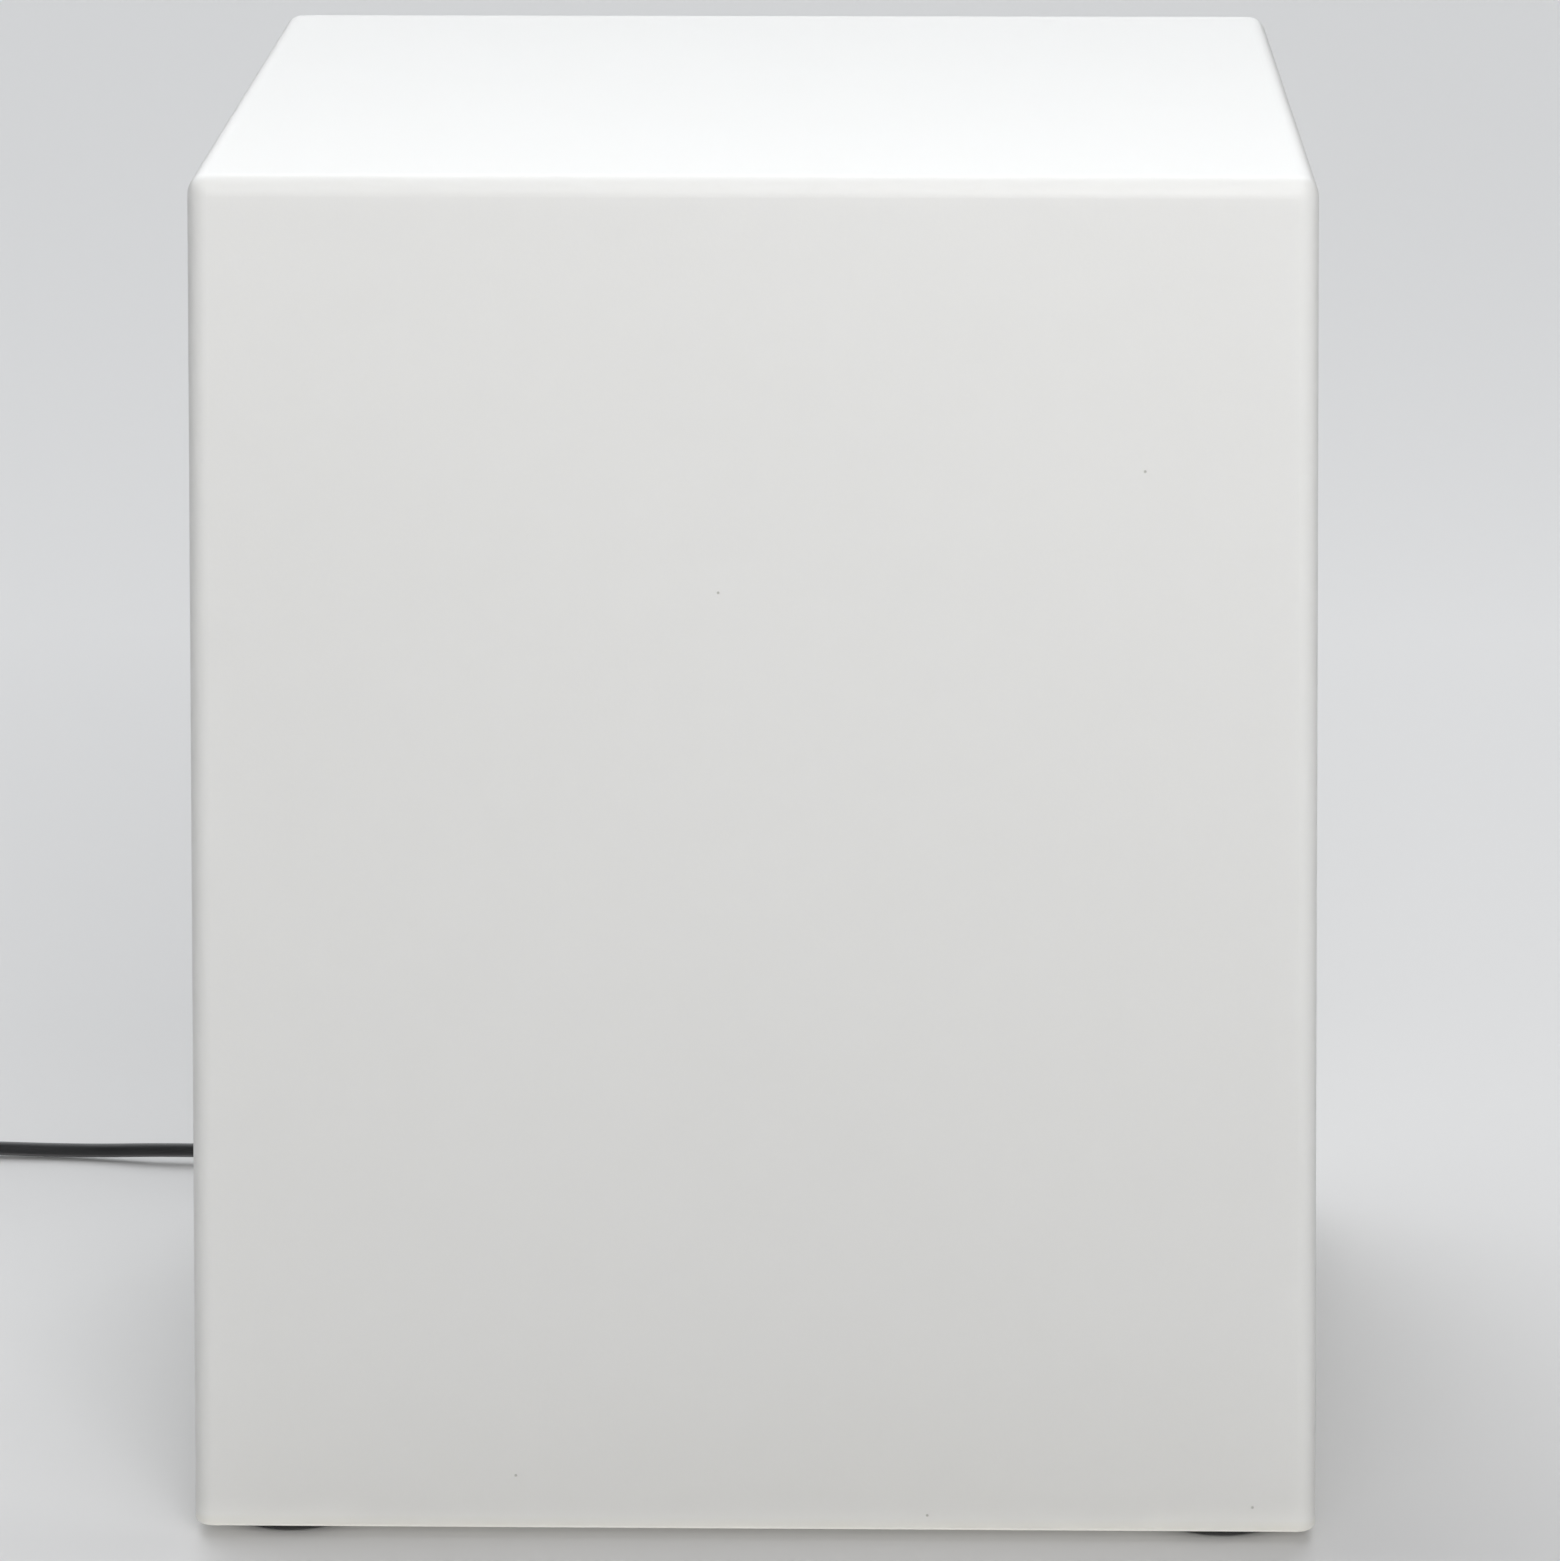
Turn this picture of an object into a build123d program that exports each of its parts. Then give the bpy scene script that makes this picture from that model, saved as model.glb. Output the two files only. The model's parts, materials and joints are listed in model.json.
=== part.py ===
from build123d import *
import math
import os

# LED cube light: a white rotationally moulded box that stands on four rubber feet, with a
# screw-base LED bulb inside. The bulb stands on a light unit that twists into a bayonet collar
# under the shell, and a rubber flex leaves through a channel at the back.
#
# Frame: millimetres, +Z up, the origin on the floor under the middle of the shell. The front
# is -Y, the back with the cable channel is +Y.

# ---------------------------------------------------------------- driving dimensions

# Shell
BASE = 400.0  # width and depth at the bottom edge
HEIGHT = 485.7  # from the bottom edge to the top face
DRAFT = 0.87  # lean of each side in degrees, so that the top is 385 wide
WALL = 3.5
EDGE_R = 7.0  # top and upright edges
BOTTOM_R = 2.0  # bottom edges, crisp in the photo
STAND = 4.6  # how far the feet hold the shell off the floor

# Service well, neck opening and cable channel in the underside
WELL_R = 95.0
WELL_DEPTH = 62.0
WELL_DRAFT = 3.0
WELL_LIP_R = 3.0
NECK_R = 60.5
CHANNEL_WIDTH = 14.0
CHANNEL_HEIGHT = 10.0

# Feet
FOOT_R = 24.0
FOOT_INSET = 33.0  # from the side of the shell to the middle of a foot
FOOT_SEAT = 4.0  # how deep a foot sits in its pocket
FOOT_FIT = 0.3
FOOT_EDGE_R = 1.2
INSERT_R = 4.5
INSERT_LENGTH = 12.0
INSERT_WALL = 4.5
SCREW_R = 1.95  # M4 shank
SCREW_HEAD_R = 4.0
SCREW_HEAD = 2.4
SCREW_REACH = 9.0  # into the insert
WASHER_R = 5.5
WASHER = 0.8
HEAD_RECESS = 0.9  # from the floor up to the screw head
THREAD_FIT = 0.05
HOLE_FIT = 0.2  # round what passes through a hole
FOOT_GROOVE = 0.8  # depth of the ring groove in a foot's tread
FOOT_GROOVE_WIDTH = 3.0
WAIST_LOW = 4.5  # the insert's knurled waist, above its lower end
WAIST_HIGH = 7.5
WAIST_DEPTH = 0.6

# Neck collar, its gasket and its screws
COLLAR_MARGIN = 9.0  # from the circle of its screws to the collar's edge
COLLAR_FLANGE = 4.0
COLLAR_BORE_R = 55.0
COLLAR_WALL = 4.5
COLLAR_RISE = 12.0  # neck tube above the well's ceiling
GASKET = 1.5
COLLAR_SCREWS = 6
COLLAR_SCREW_START = 30.0  # the first screw's angle from +X, in degrees
COLLAR_SCREW_CLEARANCE = 2.0  # from the base plate's edge to a screw head
COLLAR_SCREW_REACH = 8.5
COLLAR_BOSS_R = 6.0
COLLAR_BOSS = 9.0

# Bayonet
LUGS = 3
LUG_SPAN = 30.0
LUG_REACH = 4.5
LUG_HEIGHT = 3.5
LEDGE_SPAN = 44.0
LEDGE_INSET = 4.0  # of a locked lug from the end where it came in
LEDGE_HEIGHT = 3.0
LEDGE_LOW = 5.0  # above the underside of the collar
STOP_SPAN = 5.0
STOP_GAP = 1.0
RUNNING = 0.3  # between pieces that move past each other
RADIAL_FIT = 0.6

# Base plate of the light unit
PLATE_R = 65.0
PLATE_RIM = 5.0
PLATE_WEB = 3.0
PLATE_RIM_WIDTH = 11.0
SPIGOT_WALL = 3.0
SPIGOT_RISE = 13.5
SEAL_INSET = 5.0  # from the plate's edge to the middle of its seal
SEAL_CORD_R = 1.7
SEAL_PROUD = 0.1  # how far the seal stands out of its groove
HUB_R = 14.0
RIB_COUNT = 6
RIB = 2.4
RIB_DROP = 1.6
RIB_START = 30.0  # the first rib's angle from +X, in degrees
GRIP_LENGTH = 34.0
GRIP_WIDTH = 8.0
GRIP_DROP = 13.0
GRIP_AT = 36.0
GRIP_EDGE_R = 1.5
POST_R = 4.5
POST_RISE = 6.0

# Flex
CORD_R = 2.9
CORD_LENGTH = 3000.0
CORE_R = 1.2

# Cable gland
GLAND_FLATS = 16.0
GLAND_HEX = 5.0
GLAND_THREAD_R = 5.9
GLAND_BORE_R = 3.25
GLAND_LOWER_R = 6.6
GLAND_LOWER = 9.0
GLAND_PAD = 1.0
SEAL_LENGTH = 6.5
DOME_LENGTH = 13.0
DOME_MOUTH_FIT = 0.4
DOME_SHARE = 0.45  # of the nut's length that is rounded
DOME_RIM = 1.2
SEAL_SEAT_WALL = 1.2
SEAL_NOSE = 1.5  # how far the clamping seal stands out below its seat
LOCKNUT_FLATS = 17.0
LOCKNUT = 4.0
THREAD_END = 1.0  # of the gland's thread above its lock nut

# Lamp bracket
SHEET = 1.5
BRIDGE_HEIGHT = 38.0
BRIDGE_HALF = 26.0
BRACKET_WIDTH = 22.0
BRACKET_FOOT = 42.0
BEND_R = 2.5
BRACKET_SCREW_R = 1.5
BRACKET_SCREW_AT = 36.0
BRACKET_SCREW_REACH = 5.0
BRACKET_SCREW_HEAD = 2.0
BRACKET_SCREW_HEAD_R = 3.0

# Lamp holder, measured up from the bridge
NIPPLE_R = 4.9
NIPPLE_BORE_R = 3.4
NIPPLE_BELOW = 6.0
NIPPLE_ABOVE = 8.0
NIPPLE_NUT = 3.0
HOLDER_R = 20.5
HOLDER_WALL = 2.0
HOLDER_CAP = 18.0
HOLDER_HEIGHT = 50.0
HOLDER_MOUTH_R = 14.2
PUCK_LOW = 12.0
PUCK_HEIGHT = 10.0
THREADED_SHELL_R = 13.3
THREADED_SHELL_WALL = 0.5
THREADED_SHELL_LOW = 30.0
THREADED_SHELL_HEIGHT = 17.0
NIPPLE_NUT_FLATS = 14.0
HOLDER_NECK_R = 9.0
PUCK_FIT = 0.2
TERMINAL_AT = 10.0
TERMINAL_BLOCK = (6.6, 8.6, 5.6)
TERMINAL_DEPTH = 5.0
TERMINAL_SCREW_R = 1.2
SKIRT_RIBS = 12
SKIRT_RIB_R = 0.8
CONTACT_SHEET = 0.4
CONTACT_BEND_R = 0.8
CENTRE_CONTACT_WIDTH = 5.0
SIDE_CONTACT_WIDTH = 3.0

# LED bulb, measured up from its tip contact
BULB_LENGTH = 110.0
BULB_CAP_R = 12.9
BULB_CAP_WALL = 0.5
BULB_CAP_LOW = 4.5
BULB_CAP_HIGH = 25.0
BULB_NECK_R = 14.4
BULB_NECK = 8.0
BULB_HOUSING_HIGH = 62.0
BULB_HOUSING_WALL = 1.6
BULB_R = 30.0
GLOBE_WALL = 1.4
CONTACT_GAP = 0.3
CAP_PROUD = 0.7  # the cap's rim above the holder's mouth
CAP_RIM = 0.6  # how far the cap's rim flares
TIP_R = 4.5
TIP_HEIGHT = 1.5
BULB_CAP_FOOT_R = 10.5
BOARD = 1.6
BOARD_SEAT = 3.0  # the board's underside below the housing's rim
DRIVER_WIDTH = 19.0
DRIVER_DROP = 8.0  # into the cap
CAPACITOR_R = 4.0
CAPACITOR_LENGTH = 16.0
INDUCTOR = (7.0, 5.0, 8.0)
CHIP = (3.5, 2.8, 0.8)
CHIP_RINGS = [(8, 15.0, 0.0), (4, 8.0, 45.0)]  # count, radius, first angle
WIRE_HOLE_R = 1.2
WIRE_HOLE_AT = 4.0
FLARE_LOW = 12.0  # how straight the housing's flare starts and ends
FLARE_HIGH = 14.0
NECK_SEAL_R = 18.5
NECK_SEAL = 4.0

# Plug
PLUG_WIDTH = 35.0
PLUG_HEIGHT = 25.0
PLUG_LENGTH = 44.0
PLUG_SECTIONS = [  # distance from the strain relief, width, height, corner radius
    (0, 15, 13, 6),
    (10, 24, 18, 8),
    (24, 28, 20, 9),
    (34, PLUG_WIDTH, PLUG_HEIGHT, 11),
    (PLUG_LENGTH, PLUG_WIDTH, PLUG_HEIGHT, 11),
]
PLUG_EDGE_R = 1.5
PLUG_BOOT = 30.0
BOOT_R = 5.2
BOOT_RIBS = 6
BOOT_WALL = 0.9  # round the flex, between the ribs
BOOT_RIB = 0.9  # how far the first rib stands out
BOOT_GROOVE = 1.6
PIN_R = 2.4
PIN_LENGTH = 19.0
PIN_SPACING = 19.0
PIN_ROOT = 6.0  # in the plug, narrower than the pin
PIN_ROOT_R = 1.9

# Coil of the lead that is put away
COIL_GAP = 0.6  # between turns that lie side by side
LAYERS = 4
HALF_TURN_COUNT = 5  # in a layer, before the one that climbs to the next layer
TIE = 1.0
TIE_WIDTH = 10.0
TIE_FIT = 0.3

# ---------------------------------------------------------------- heights that follow

CEILING = STAND + WELL_DEPTH
COLLAR_LOW = CEILING - GASKET - COLLAR_FLANGE
PLATE_TOP = COLLAR_LOW - RUNNING
PLATE_LOW = PLATE_TOP - PLATE_RIM
LEDGE_TOP = COLLAR_LOW + LEDGE_LOW + LEDGE_HEIGHT
GLAND_TOP = PLATE_LOW - GLAND_PAD
GLAND_HEX_LOW = GLAND_TOP - GLAND_HEX
GLAND_END = GLAND_HEX_LOW - GLAND_LOWER
DOME_TOP = GLAND_HEX_LOW - RUNNING
CORD_EXIT = DOME_TOP - DOME_LENGTH
BRACKET_LOW = PLATE_TOP + POST_RISE
BRIDGE_TOP = BRACKET_LOW + BRIDGE_HEIGHT
HOLDER_TOP = BRIDGE_TOP + HOLDER_HEIGHT
BULB_TIP = HOLDER_TOP + RUNNING + CAP_PROUD - BULB_CAP_HIGH
BOARD_LOW = BULB_TIP + BULB_HOUSING_HIGH - BOARD_SEAT
SHEATH_END = BRIDGE_TOP + NIPPLE_ABOVE

LEDGE_BORE_R = COLLAR_BORE_R - LUG_REACH
SPIGOT_R = LEDGE_BORE_R - RADIAL_FIT
LUG_R = COLLAR_BORE_R - RADIAL_FIT
SEAL_R = PLATE_R - SEAL_INSET
COLLAR_SCREW_CIRCLE_R = PLATE_R + COLLAR_SCREW_CLEARANCE + SCREW_HEAD_R
COLLAR_R = COLLAR_SCREW_CIRCLE_R + COLLAR_MARGIN
UPWARD = (Align.CENTER, Align.CENTER, Align.MIN)
FOOT_AT = BASE / 2 - FOOT_INSET
FOOT_PLACES = [(x, y) for x in (-FOOT_AT, FOOT_AT) for y in (-FOOT_AT, FOOT_AT)]
PITCH = 2 * CORD_R + COIL_GAP
STRAIGHT = 2 * CORD_R  # the coil's straight ends
COIL_LOW = CORD_R + TIE + TIE_FIT
COIL_TOP = COIL_LOW + (LAYERS - 1) * PITCH


# ---------------------------------------------------------------- helpers


def rod(radius, low, high, at=(0, 0)):
    """An upright cylinder between two heights."""
    return Pos(*at, low) * Cylinder(radius, high - low, align=UPWARD)


def tube(outer, inner, low, high, at=(0, 0)):
    return rod(outer, low, high, at) - rod(inner, low, high, at)


def turned(*corners, span=360.0):
    """A solid turned about Z from (radius, height) corners, over span degrees from +X."""
    outline = Polyline(*[(radius, 0, height) for radius, height in corners], close=True)
    return revolve(make_face(outline), Axis.Z, revolution_arc=span)


def hexagon(flats, low, high):
    section = RegularPolygon(flats / 2, 6, major_radius=False)
    return Pos(0, 0, low) * extrude(section, amount=high - low)


def around(count, radius, start=0.0):
    """Places on a circle about Z, start degrees from +X."""
    angles = [math.radians(start + 360.0 * k / count) for k in range(count)]
    return [(radius * math.cos(a), radius * math.sin(a)) for a in angles]


def collar_screw_places():
    return around(COLLAR_SCREWS, COLLAR_SCREW_CIRCLE_R, COLLAR_SCREW_START)


def cylinder_head_screw(at, head_low, head, head_r, shank_r, tip):
    """A screw that points up: its head is low, and its tip is a short cone."""
    bevel, cone, tip_r = head * 0.25, shank_r * 0.8, shank_r * 0.35
    slot_length, slot_width, slot_depth = head_r * 1.2, head * 0.3, head * 0.4
    body = rod(head_r, head_low, head_low + head, at)
    body = chamfer(body.edges().group_by(Axis.Z)[0], bevel)
    shank = rod(shank_r, head_low + head, tip - cone, at)
    point = Pos(*at, tip - cone) * Cone(shank_r, tip_r, cone, align=UPWARD)
    slot = Pos(*at, head_low) * Box(slot_length, slot_width, 2 * slot_depth)
    return body + shank + point - slot


def write(name, *shapes):
    """Writes one node, which may hold several separate solids."""
    solids = [solid for shape in shapes for solid in shape.solids()]
    whole = solids[0] if len(solids) == 1 else Compound(solids)
    export_step(whole, f"parts/{name}.step")


# ---------------------------------------------------------------- shell and feet


def tapered_box(width, height, edge_r, bottom_r):
    """A box that narrows upwards by DRAFT on each side, with all its edges rounded."""
    box = extrude(Rectangle(width, width), amount=height, taper=DRAFT)
    levels = box.edges().group_by(Axis.Z)
    box = fillet(levels[1] + levels[2], edge_r)
    return fillet(box.edges().group_by(Axis.Z)[0], bottom_r)


def arched_bar(width, height, start, end):
    """A bar along Y with an arched top, standing on the shell's bottom face."""
    side, spring = width / 2, height - width / 2
    outline = [
        Line((-side, 0), (side, 0)),
        Line((side, 0), (side, spring)),
        ThreePointArc((side, spring), (0, height), (-side, spring)),
        Line((-side, spring), (-side, 0)),
    ]
    plane = Plane(origin=(0, end, STAND), x_dir=(1, 0, 0), z_dir=(0, -1, 0))
    return extrude(plane * make_face(outline), amount=end - start)


def well_cutter():
    """The service well's space, with a flared mouth that rounds the shell's edge there."""
    top_r = WELL_R - WELL_DEPTH * math.tan(math.radians(WELL_DRAFT))
    lip = WELL_LIP_R
    middle = lip * (1 - math.sqrt(0.5))
    outline = [
        Line((0, 0, STAND), (WELL_R + lip, 0, STAND)),
        ThreePointArc(
            (WELL_R + lip, 0, STAND),
            (WELL_R + middle, 0, STAND + middle),
            (WELL_R, 0, STAND + lip),
        ),
        Line((WELL_R, 0, STAND + lip), (top_r, 0, CEILING)),
        Line((top_r, 0, CEILING), (0, 0, CEILING)),
        Line((0, 0, CEILING), (0, 0, STAND)),
    ]
    return revolve(make_face(outline), Axis.Z)


def well_core():
    """The same space with its wall round it."""
    top_r = WELL_R - WELL_DEPTH * math.tan(math.radians(WELL_DRAFT)) + WALL
    return turned(
        (0, STAND),
        (WELL_R + WALL, STAND),
        (top_r, CEILING + WALL),
        (0, CEILING + WALL),
    )


def foot_pad(at):
    """The thickened corner of the shell's floor that holds one foot's pocket and insert."""
    core_r = FOOT_R + FOOT_FIT + WALL
    high = STAND + FOOT_SEAT + WALL
    side = FOOT_INSET + core_r
    right, back = math.copysign(1, at[0]), math.copysign(1, at[1])
    middle = (at[0] + right * (side / 2 - core_r), at[1] + back * (side / 2 - core_r))
    block = Pos(*middle, STAND) * Box(side, side, high - STAND, align=UPWARD)
    inner = block.edges().filter_by(Axis.Z).sort_by_distance((0, 0, STAND))[0]
    boss_high = STAND + FOOT_SEAT + INSERT_LENGTH + WALL
    return fillet(inner, core_r - 1) + rod(INSERT_R + INSERT_WALL, STAND, boss_high, at)


def shell():
    lean = math.radians(DRAFT)
    inner_width = BASE - 2 * WALL * math.tan(lean) - 2 * WALL / math.cos(lean)
    inner_r = EDGE_R - WALL
    cavity = tapered_box(inner_width, HEIGHT - 2 * WALL, inner_r, inner_r)
    cavity = Pos(0, 0, STAND + WALL) * cavity - well_core()
    channel_start = WELL_R - WALL - WELL_LIP_R
    cavity -= arched_bar(CHANNEL_WIDTH + 2 * WALL, CHANNEL_HEIGHT + WALL, channel_start, BASE / 2)
    for at in FOOT_PLACES:
        cavity -= foot_pad(at)
    for at in collar_screw_places():
        cavity -= rod(COLLAR_BOSS_R, CEILING, CEILING + COLLAR_BOSS + WALL, at)

    body = Pos(0, 0, STAND) * tapered_box(BASE, HEIGHT, EDGE_R, BOTTOM_R)
    body = body - cavity - well_cutter() - rod(NECK_R, CEILING, CEILING + WALL)
    body -= arched_bar(CHANNEL_WIDTH, CHANNEL_HEIGHT, channel_start, BASE / 2 + WALL)
    pocket_top = STAND + FOOT_SEAT
    for at in FOOT_PLACES:
        body -= rod(FOOT_R + FOOT_FIT, STAND, pocket_top, at)
        body -= rod(INSERT_R, pocket_top, pocket_top + INSERT_LENGTH, at)
    for at in collar_screw_places():
        body -= rod(SCREW_R + THREAD_FIT, CEILING, CEILING + COLLAR_BOSS, at)
    return body


def rubber_foot(at):
    """A disc with a rounded lower edge and a stepped hole for its washer and screw."""
    top = STAND + FOOT_SEAT
    head_low = HEAD_RECESS
    washer_low = head_low + SCREW_HEAD
    disc = rod(FOOT_R, 0, top, at)
    disc = fillet(disc.edges().group_by(Axis.Z)[0], FOOT_EDGE_R)
    disc -= rod(WASHER_R + FOOT_FIT, 0, washer_low + WASHER, at)
    disc -= rod(SCREW_R + FOOT_FIT, washer_low, top, at)
    middle_r, half = (FOOT_R + WASHER_R) / 2, FOOT_GROOVE_WIDTH / 2
    return disc - tube(middle_r + half, middle_r - half, 0, FOOT_GROOVE, at)


def foot_pieces():
    top = STAND + FOOT_SEAT
    washer_low = HEAD_RECESS + SCREW_HEAD
    feet, washers, screws, inserts = [], [], [], []
    for at in FOOT_PLACES:
        feet.append(rubber_foot(at))
        washers.append(tube(WASHER_R, SCREW_R + HOLE_FIT, washer_low, washer_low + WASHER, at))
        tip = top + SCREW_REACH
        screws.append(
            cylinder_head_screw(at, HEAD_RECESS, SCREW_HEAD, SCREW_HEAD_R, SCREW_R, tip)
        )
        insert = tube(INSERT_R, SCREW_R + THREAD_FIT, top, top + INSERT_LENGTH, at)
        waist_r = INSERT_R - WAIST_DEPTH
        waist = tube(INSERT_R + 1, waist_r, top + WAIST_LOW, top + WAIST_HIGH, at)
        inserts.append(insert - waist)
    return feet, washers, screws, inserts


# ---------------------------------------------------------------- neck collar


def neck_collar():
    """The bayonet ring under the shell: a flange, a neck tube, ledges and their stops."""
    high = CEILING + COLLAR_RISE
    neck_r = COLLAR_BORE_R + COLLAR_WALL
    flange_high = COLLAR_LOW + COLLAR_FLANGE
    ring = turned(
        (COLLAR_BORE_R, COLLAR_LOW),
        (COLLAR_R - 1, COLLAR_LOW),
        (COLLAR_R, COLLAR_LOW + 1),
        (COLLAR_R, flange_high),
        (neck_r, flange_high),
        (neck_r, high),
        (COLLAR_BORE_R, high),
    )
    ledge = turned(
        (LEDGE_BORE_R, LEDGE_TOP - LEDGE_HEIGHT),
        (COLLAR_BORE_R + 1, LEDGE_TOP - LEDGE_HEIGHT),
        (COLLAR_BORE_R + 1, LEDGE_TOP),
        (LEDGE_BORE_R, LEDGE_TOP),
        span=LEDGE_SPAN,
    )
    stop = turned(
        (LEDGE_BORE_R, LEDGE_TOP - LEDGE_HEIGHT),
        (COLLAR_BORE_R + 1, LEDGE_TOP - LEDGE_HEIGHT),
        (COLLAR_BORE_R + 1, LEDGE_TOP + LUG_HEIGHT),
        (LEDGE_BORE_R, LEDGE_TOP + LUG_HEIGHT),
        span=STOP_SPAN,
    )
    for k in range(LUGS):
        turn = 360.0 * k / LUGS
        ring += Rot(0, 0, turn) * ledge
        ring += Rot(0, 0, turn + LEDGE_INSET + LUG_SPAN + STOP_GAP) * stop
    for at in collar_screw_places():
        ring -= rod(SCREW_R + FOOT_FIT, COLLAR_LOW, flange_high, at)
    return ring


def collar_gasket():
    low = CEILING - GASKET
    ring = tube(COLLAR_R - 1, NECK_R, low, CEILING)
    for at in collar_screw_places():
        ring -= rod(SCREW_R + FOOT_FIT, low, CEILING, at)
    return ring


def collar_screws():
    head_low = COLLAR_LOW - SCREW_HEAD
    tip = CEILING + COLLAR_SCREW_REACH
    return [
        cylinder_head_screw(at, head_low, SCREW_HEAD, SCREW_HEAD_R, SCREW_R, tip)
        for at in collar_screw_places()
    ]


# ---------------------------------------------------------------- light unit


def base_plate():
    """The twist-in plate: rim with a seal groove, thin web, hub, ribs, spigot and grips."""
    web_low = PLATE_TOP - PLATE_WEB
    rim_inner = PLATE_R - PLATE_RIM_WIDTH
    groove_half = SEAL_CORD_R + HOLE_FIT
    hole_r = GLAND_THREAD_R + HOLE_FIT
    groove_low = PLATE_TOP - 2 * SEAL_CORD_R
    plate = turned(
        (hole_r, PLATE_LOW),
        (HUB_R, PLATE_LOW),
        (HUB_R, web_low),
        (rim_inner, web_low),
        (rim_inner, PLATE_LOW),
        (PLATE_R - 1, PLATE_LOW),
        (PLATE_R, PLATE_LOW + 1),
        (PLATE_R, PLATE_TOP),
        (SEAL_R + groove_half, PLATE_TOP),
        (SEAL_R + groove_half, groove_low),
        (SEAL_R - groove_half, groove_low),
        (SEAL_R - groove_half, PLATE_TOP),
        (SPIGOT_R, PLATE_TOP),
        (SPIGOT_R, PLATE_TOP + SPIGOT_RISE),
        (SPIGOT_R - SPIGOT_WALL, PLATE_TOP + SPIGOT_RISE),
        (SPIGOT_R - SPIGOT_WALL, PLATE_TOP),
        (hole_r, PLATE_TOP),
    )
    rib_length = rim_inner - HUB_R + 2
    rib = Pos((rim_inner + HUB_R) / 2, 0, web_low - RIB_DROP) * Box(
        rib_length, RIB, RIB_DROP, align=UPWARD
    )
    for k in range(RIB_COUNT):
        plate += Rot(0, 0, RIB_START + 360.0 * k / RIB_COUNT) * rib
    for side in (-1, 1):
        grip = Pos(side * GRIP_AT, 0, PLATE_LOW - GRIP_DROP) * extrude(
            RectangleRounded(GRIP_WIDTH, GRIP_LENGTH, GRIP_WIDTH * 0.45),
            amount=GRIP_DROP + PLATE_TOP - PLATE_WEB - PLATE_LOW,
        )
        plate += fillet(grip.edges().group_by(Axis.Z)[0], GRIP_EDGE_R)
        plate += rod(POST_R, PLATE_TOP, BRACKET_LOW, (side * BRACKET_SCREW_AT, 0))
        plate -= rod(
            BRACKET_SCREW_R + THREAD_FIT,
            BRACKET_LOW - BRACKET_SCREW_REACH - 0.5,
            BRACKET_LOW,
            (side * BRACKET_SCREW_AT, 0),
        )
    lug = turned(
        (SPIGOT_R - 1, LEDGE_TOP + RUNNING),
        (LUG_R, LEDGE_TOP + RUNNING),
        (LUG_R, LEDGE_TOP + RUNNING + LUG_HEIGHT - 1),
        (LUG_R - 1, LEDGE_TOP + RUNNING + LUG_HEIGHT),
        (SPIGOT_R - 1, LEDGE_TOP + RUNNING + LUG_HEIGHT),
        span=LUG_SPAN,
    )
    for k in range(LUGS):
        plate += Rot(0, 0, 360.0 * k / LUGS + LEDGE_INSET) * lug
    return plate


def plate_seal():
    middle = PLATE_TOP + SEAL_PROUD - SEAL_CORD_R
    section = Plane.XZ * Pos(SEAL_R, middle) * Circle(SEAL_CORD_R)
    return revolve(section, Axis.Z)


def gland_pad():
    """The flat gasket between the gland's hexagon and the plate."""
    return tube(GLAND_FLATS / 2 - 0.5, GLAND_THREAD_R + HOLE_FIT, GLAND_TOP, PLATE_LOW)


def gland_body():
    """Hexagon, the thread through the plate above it, and the seal's seat below it."""
    upper = PLATE_TOP + LOCKNUT + THREAD_END
    seat_r = GLAND_LOWER_R - SEAL_SEAT_WALL
    body = hexagon(GLAND_FLATS, GLAND_HEX_LOW, GLAND_TOP)
    body += rod(GLAND_THREAD_R, GLAND_TOP, upper)
    body += rod(GLAND_LOWER_R, GLAND_END, GLAND_HEX_LOW)
    body -= rod(GLAND_BORE_R, GLAND_END, upper)
    return body - rod(seat_r, GLAND_END, GLAND_END + SEAL_LENGTH)


def gland_seal():
    """The rubber bush that the dome nut presses on the flex, with a tapered nose."""
    outer = GLAND_LOWER_R - SEAL_SEAT_WALL - THREAD_FIT
    inner = CORD_R + THREAD_FIT
    high = GLAND_END + SEAL_LENGTH - THREAD_FIT
    return turned(
        (inner, GLAND_END - SEAL_NOSE),
        (outer - SEAL_NOSE / 2, GLAND_END - SEAL_NOSE),
        (outer, GLAND_END),
        (outer, high),
        (inner, high),
    )


def gland_dome_nut():
    """Hexagonal nut that closes to a rounded mouth round the flex, with a cone inside."""
    mouth_r = CORD_R + DOME_MOUTH_FIT
    bore_r = GLAND_LOWER_R + 2 * THREAD_FIT
    outer = GLAND_FLATS / 2 - 0.2
    rim_r = mouth_r + DOME_RIM
    dome_length = DOME_LENGTH * DOME_SHARE
    outline = [
        Line((0, 0, CORD_EXIT), (rim_r, 0, CORD_EXIT)),
        ThreePointArc(
            (rim_r, 0, CORD_EXIT),
            (outer - 1.0, 0, CORD_EXIT + dome_length * 0.4),
            (outer, 0, CORD_EXIT + dome_length),
        ),
        Line((outer, 0, CORD_EXIT + dome_length), (0, 0, CORD_EXIT + dome_length)),
        Line((0, 0, CORD_EXIT + dome_length), (0, 0, CORD_EXIT)),
    ]
    dome = revolve(make_face(outline), Axis.Z)
    inside = turned(
        (0, CORD_EXIT),
        (mouth_r, CORD_EXIT),
        (mouth_r, GLAND_END - 2 * SEAL_NOSE),
        (bore_r, GLAND_END),
        (bore_r, DOME_TOP),
        (0, DOME_TOP),
    )
    return hexagon(GLAND_FLATS, CORD_EXIT + dome_length, DOME_TOP) + dome - inside


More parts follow.
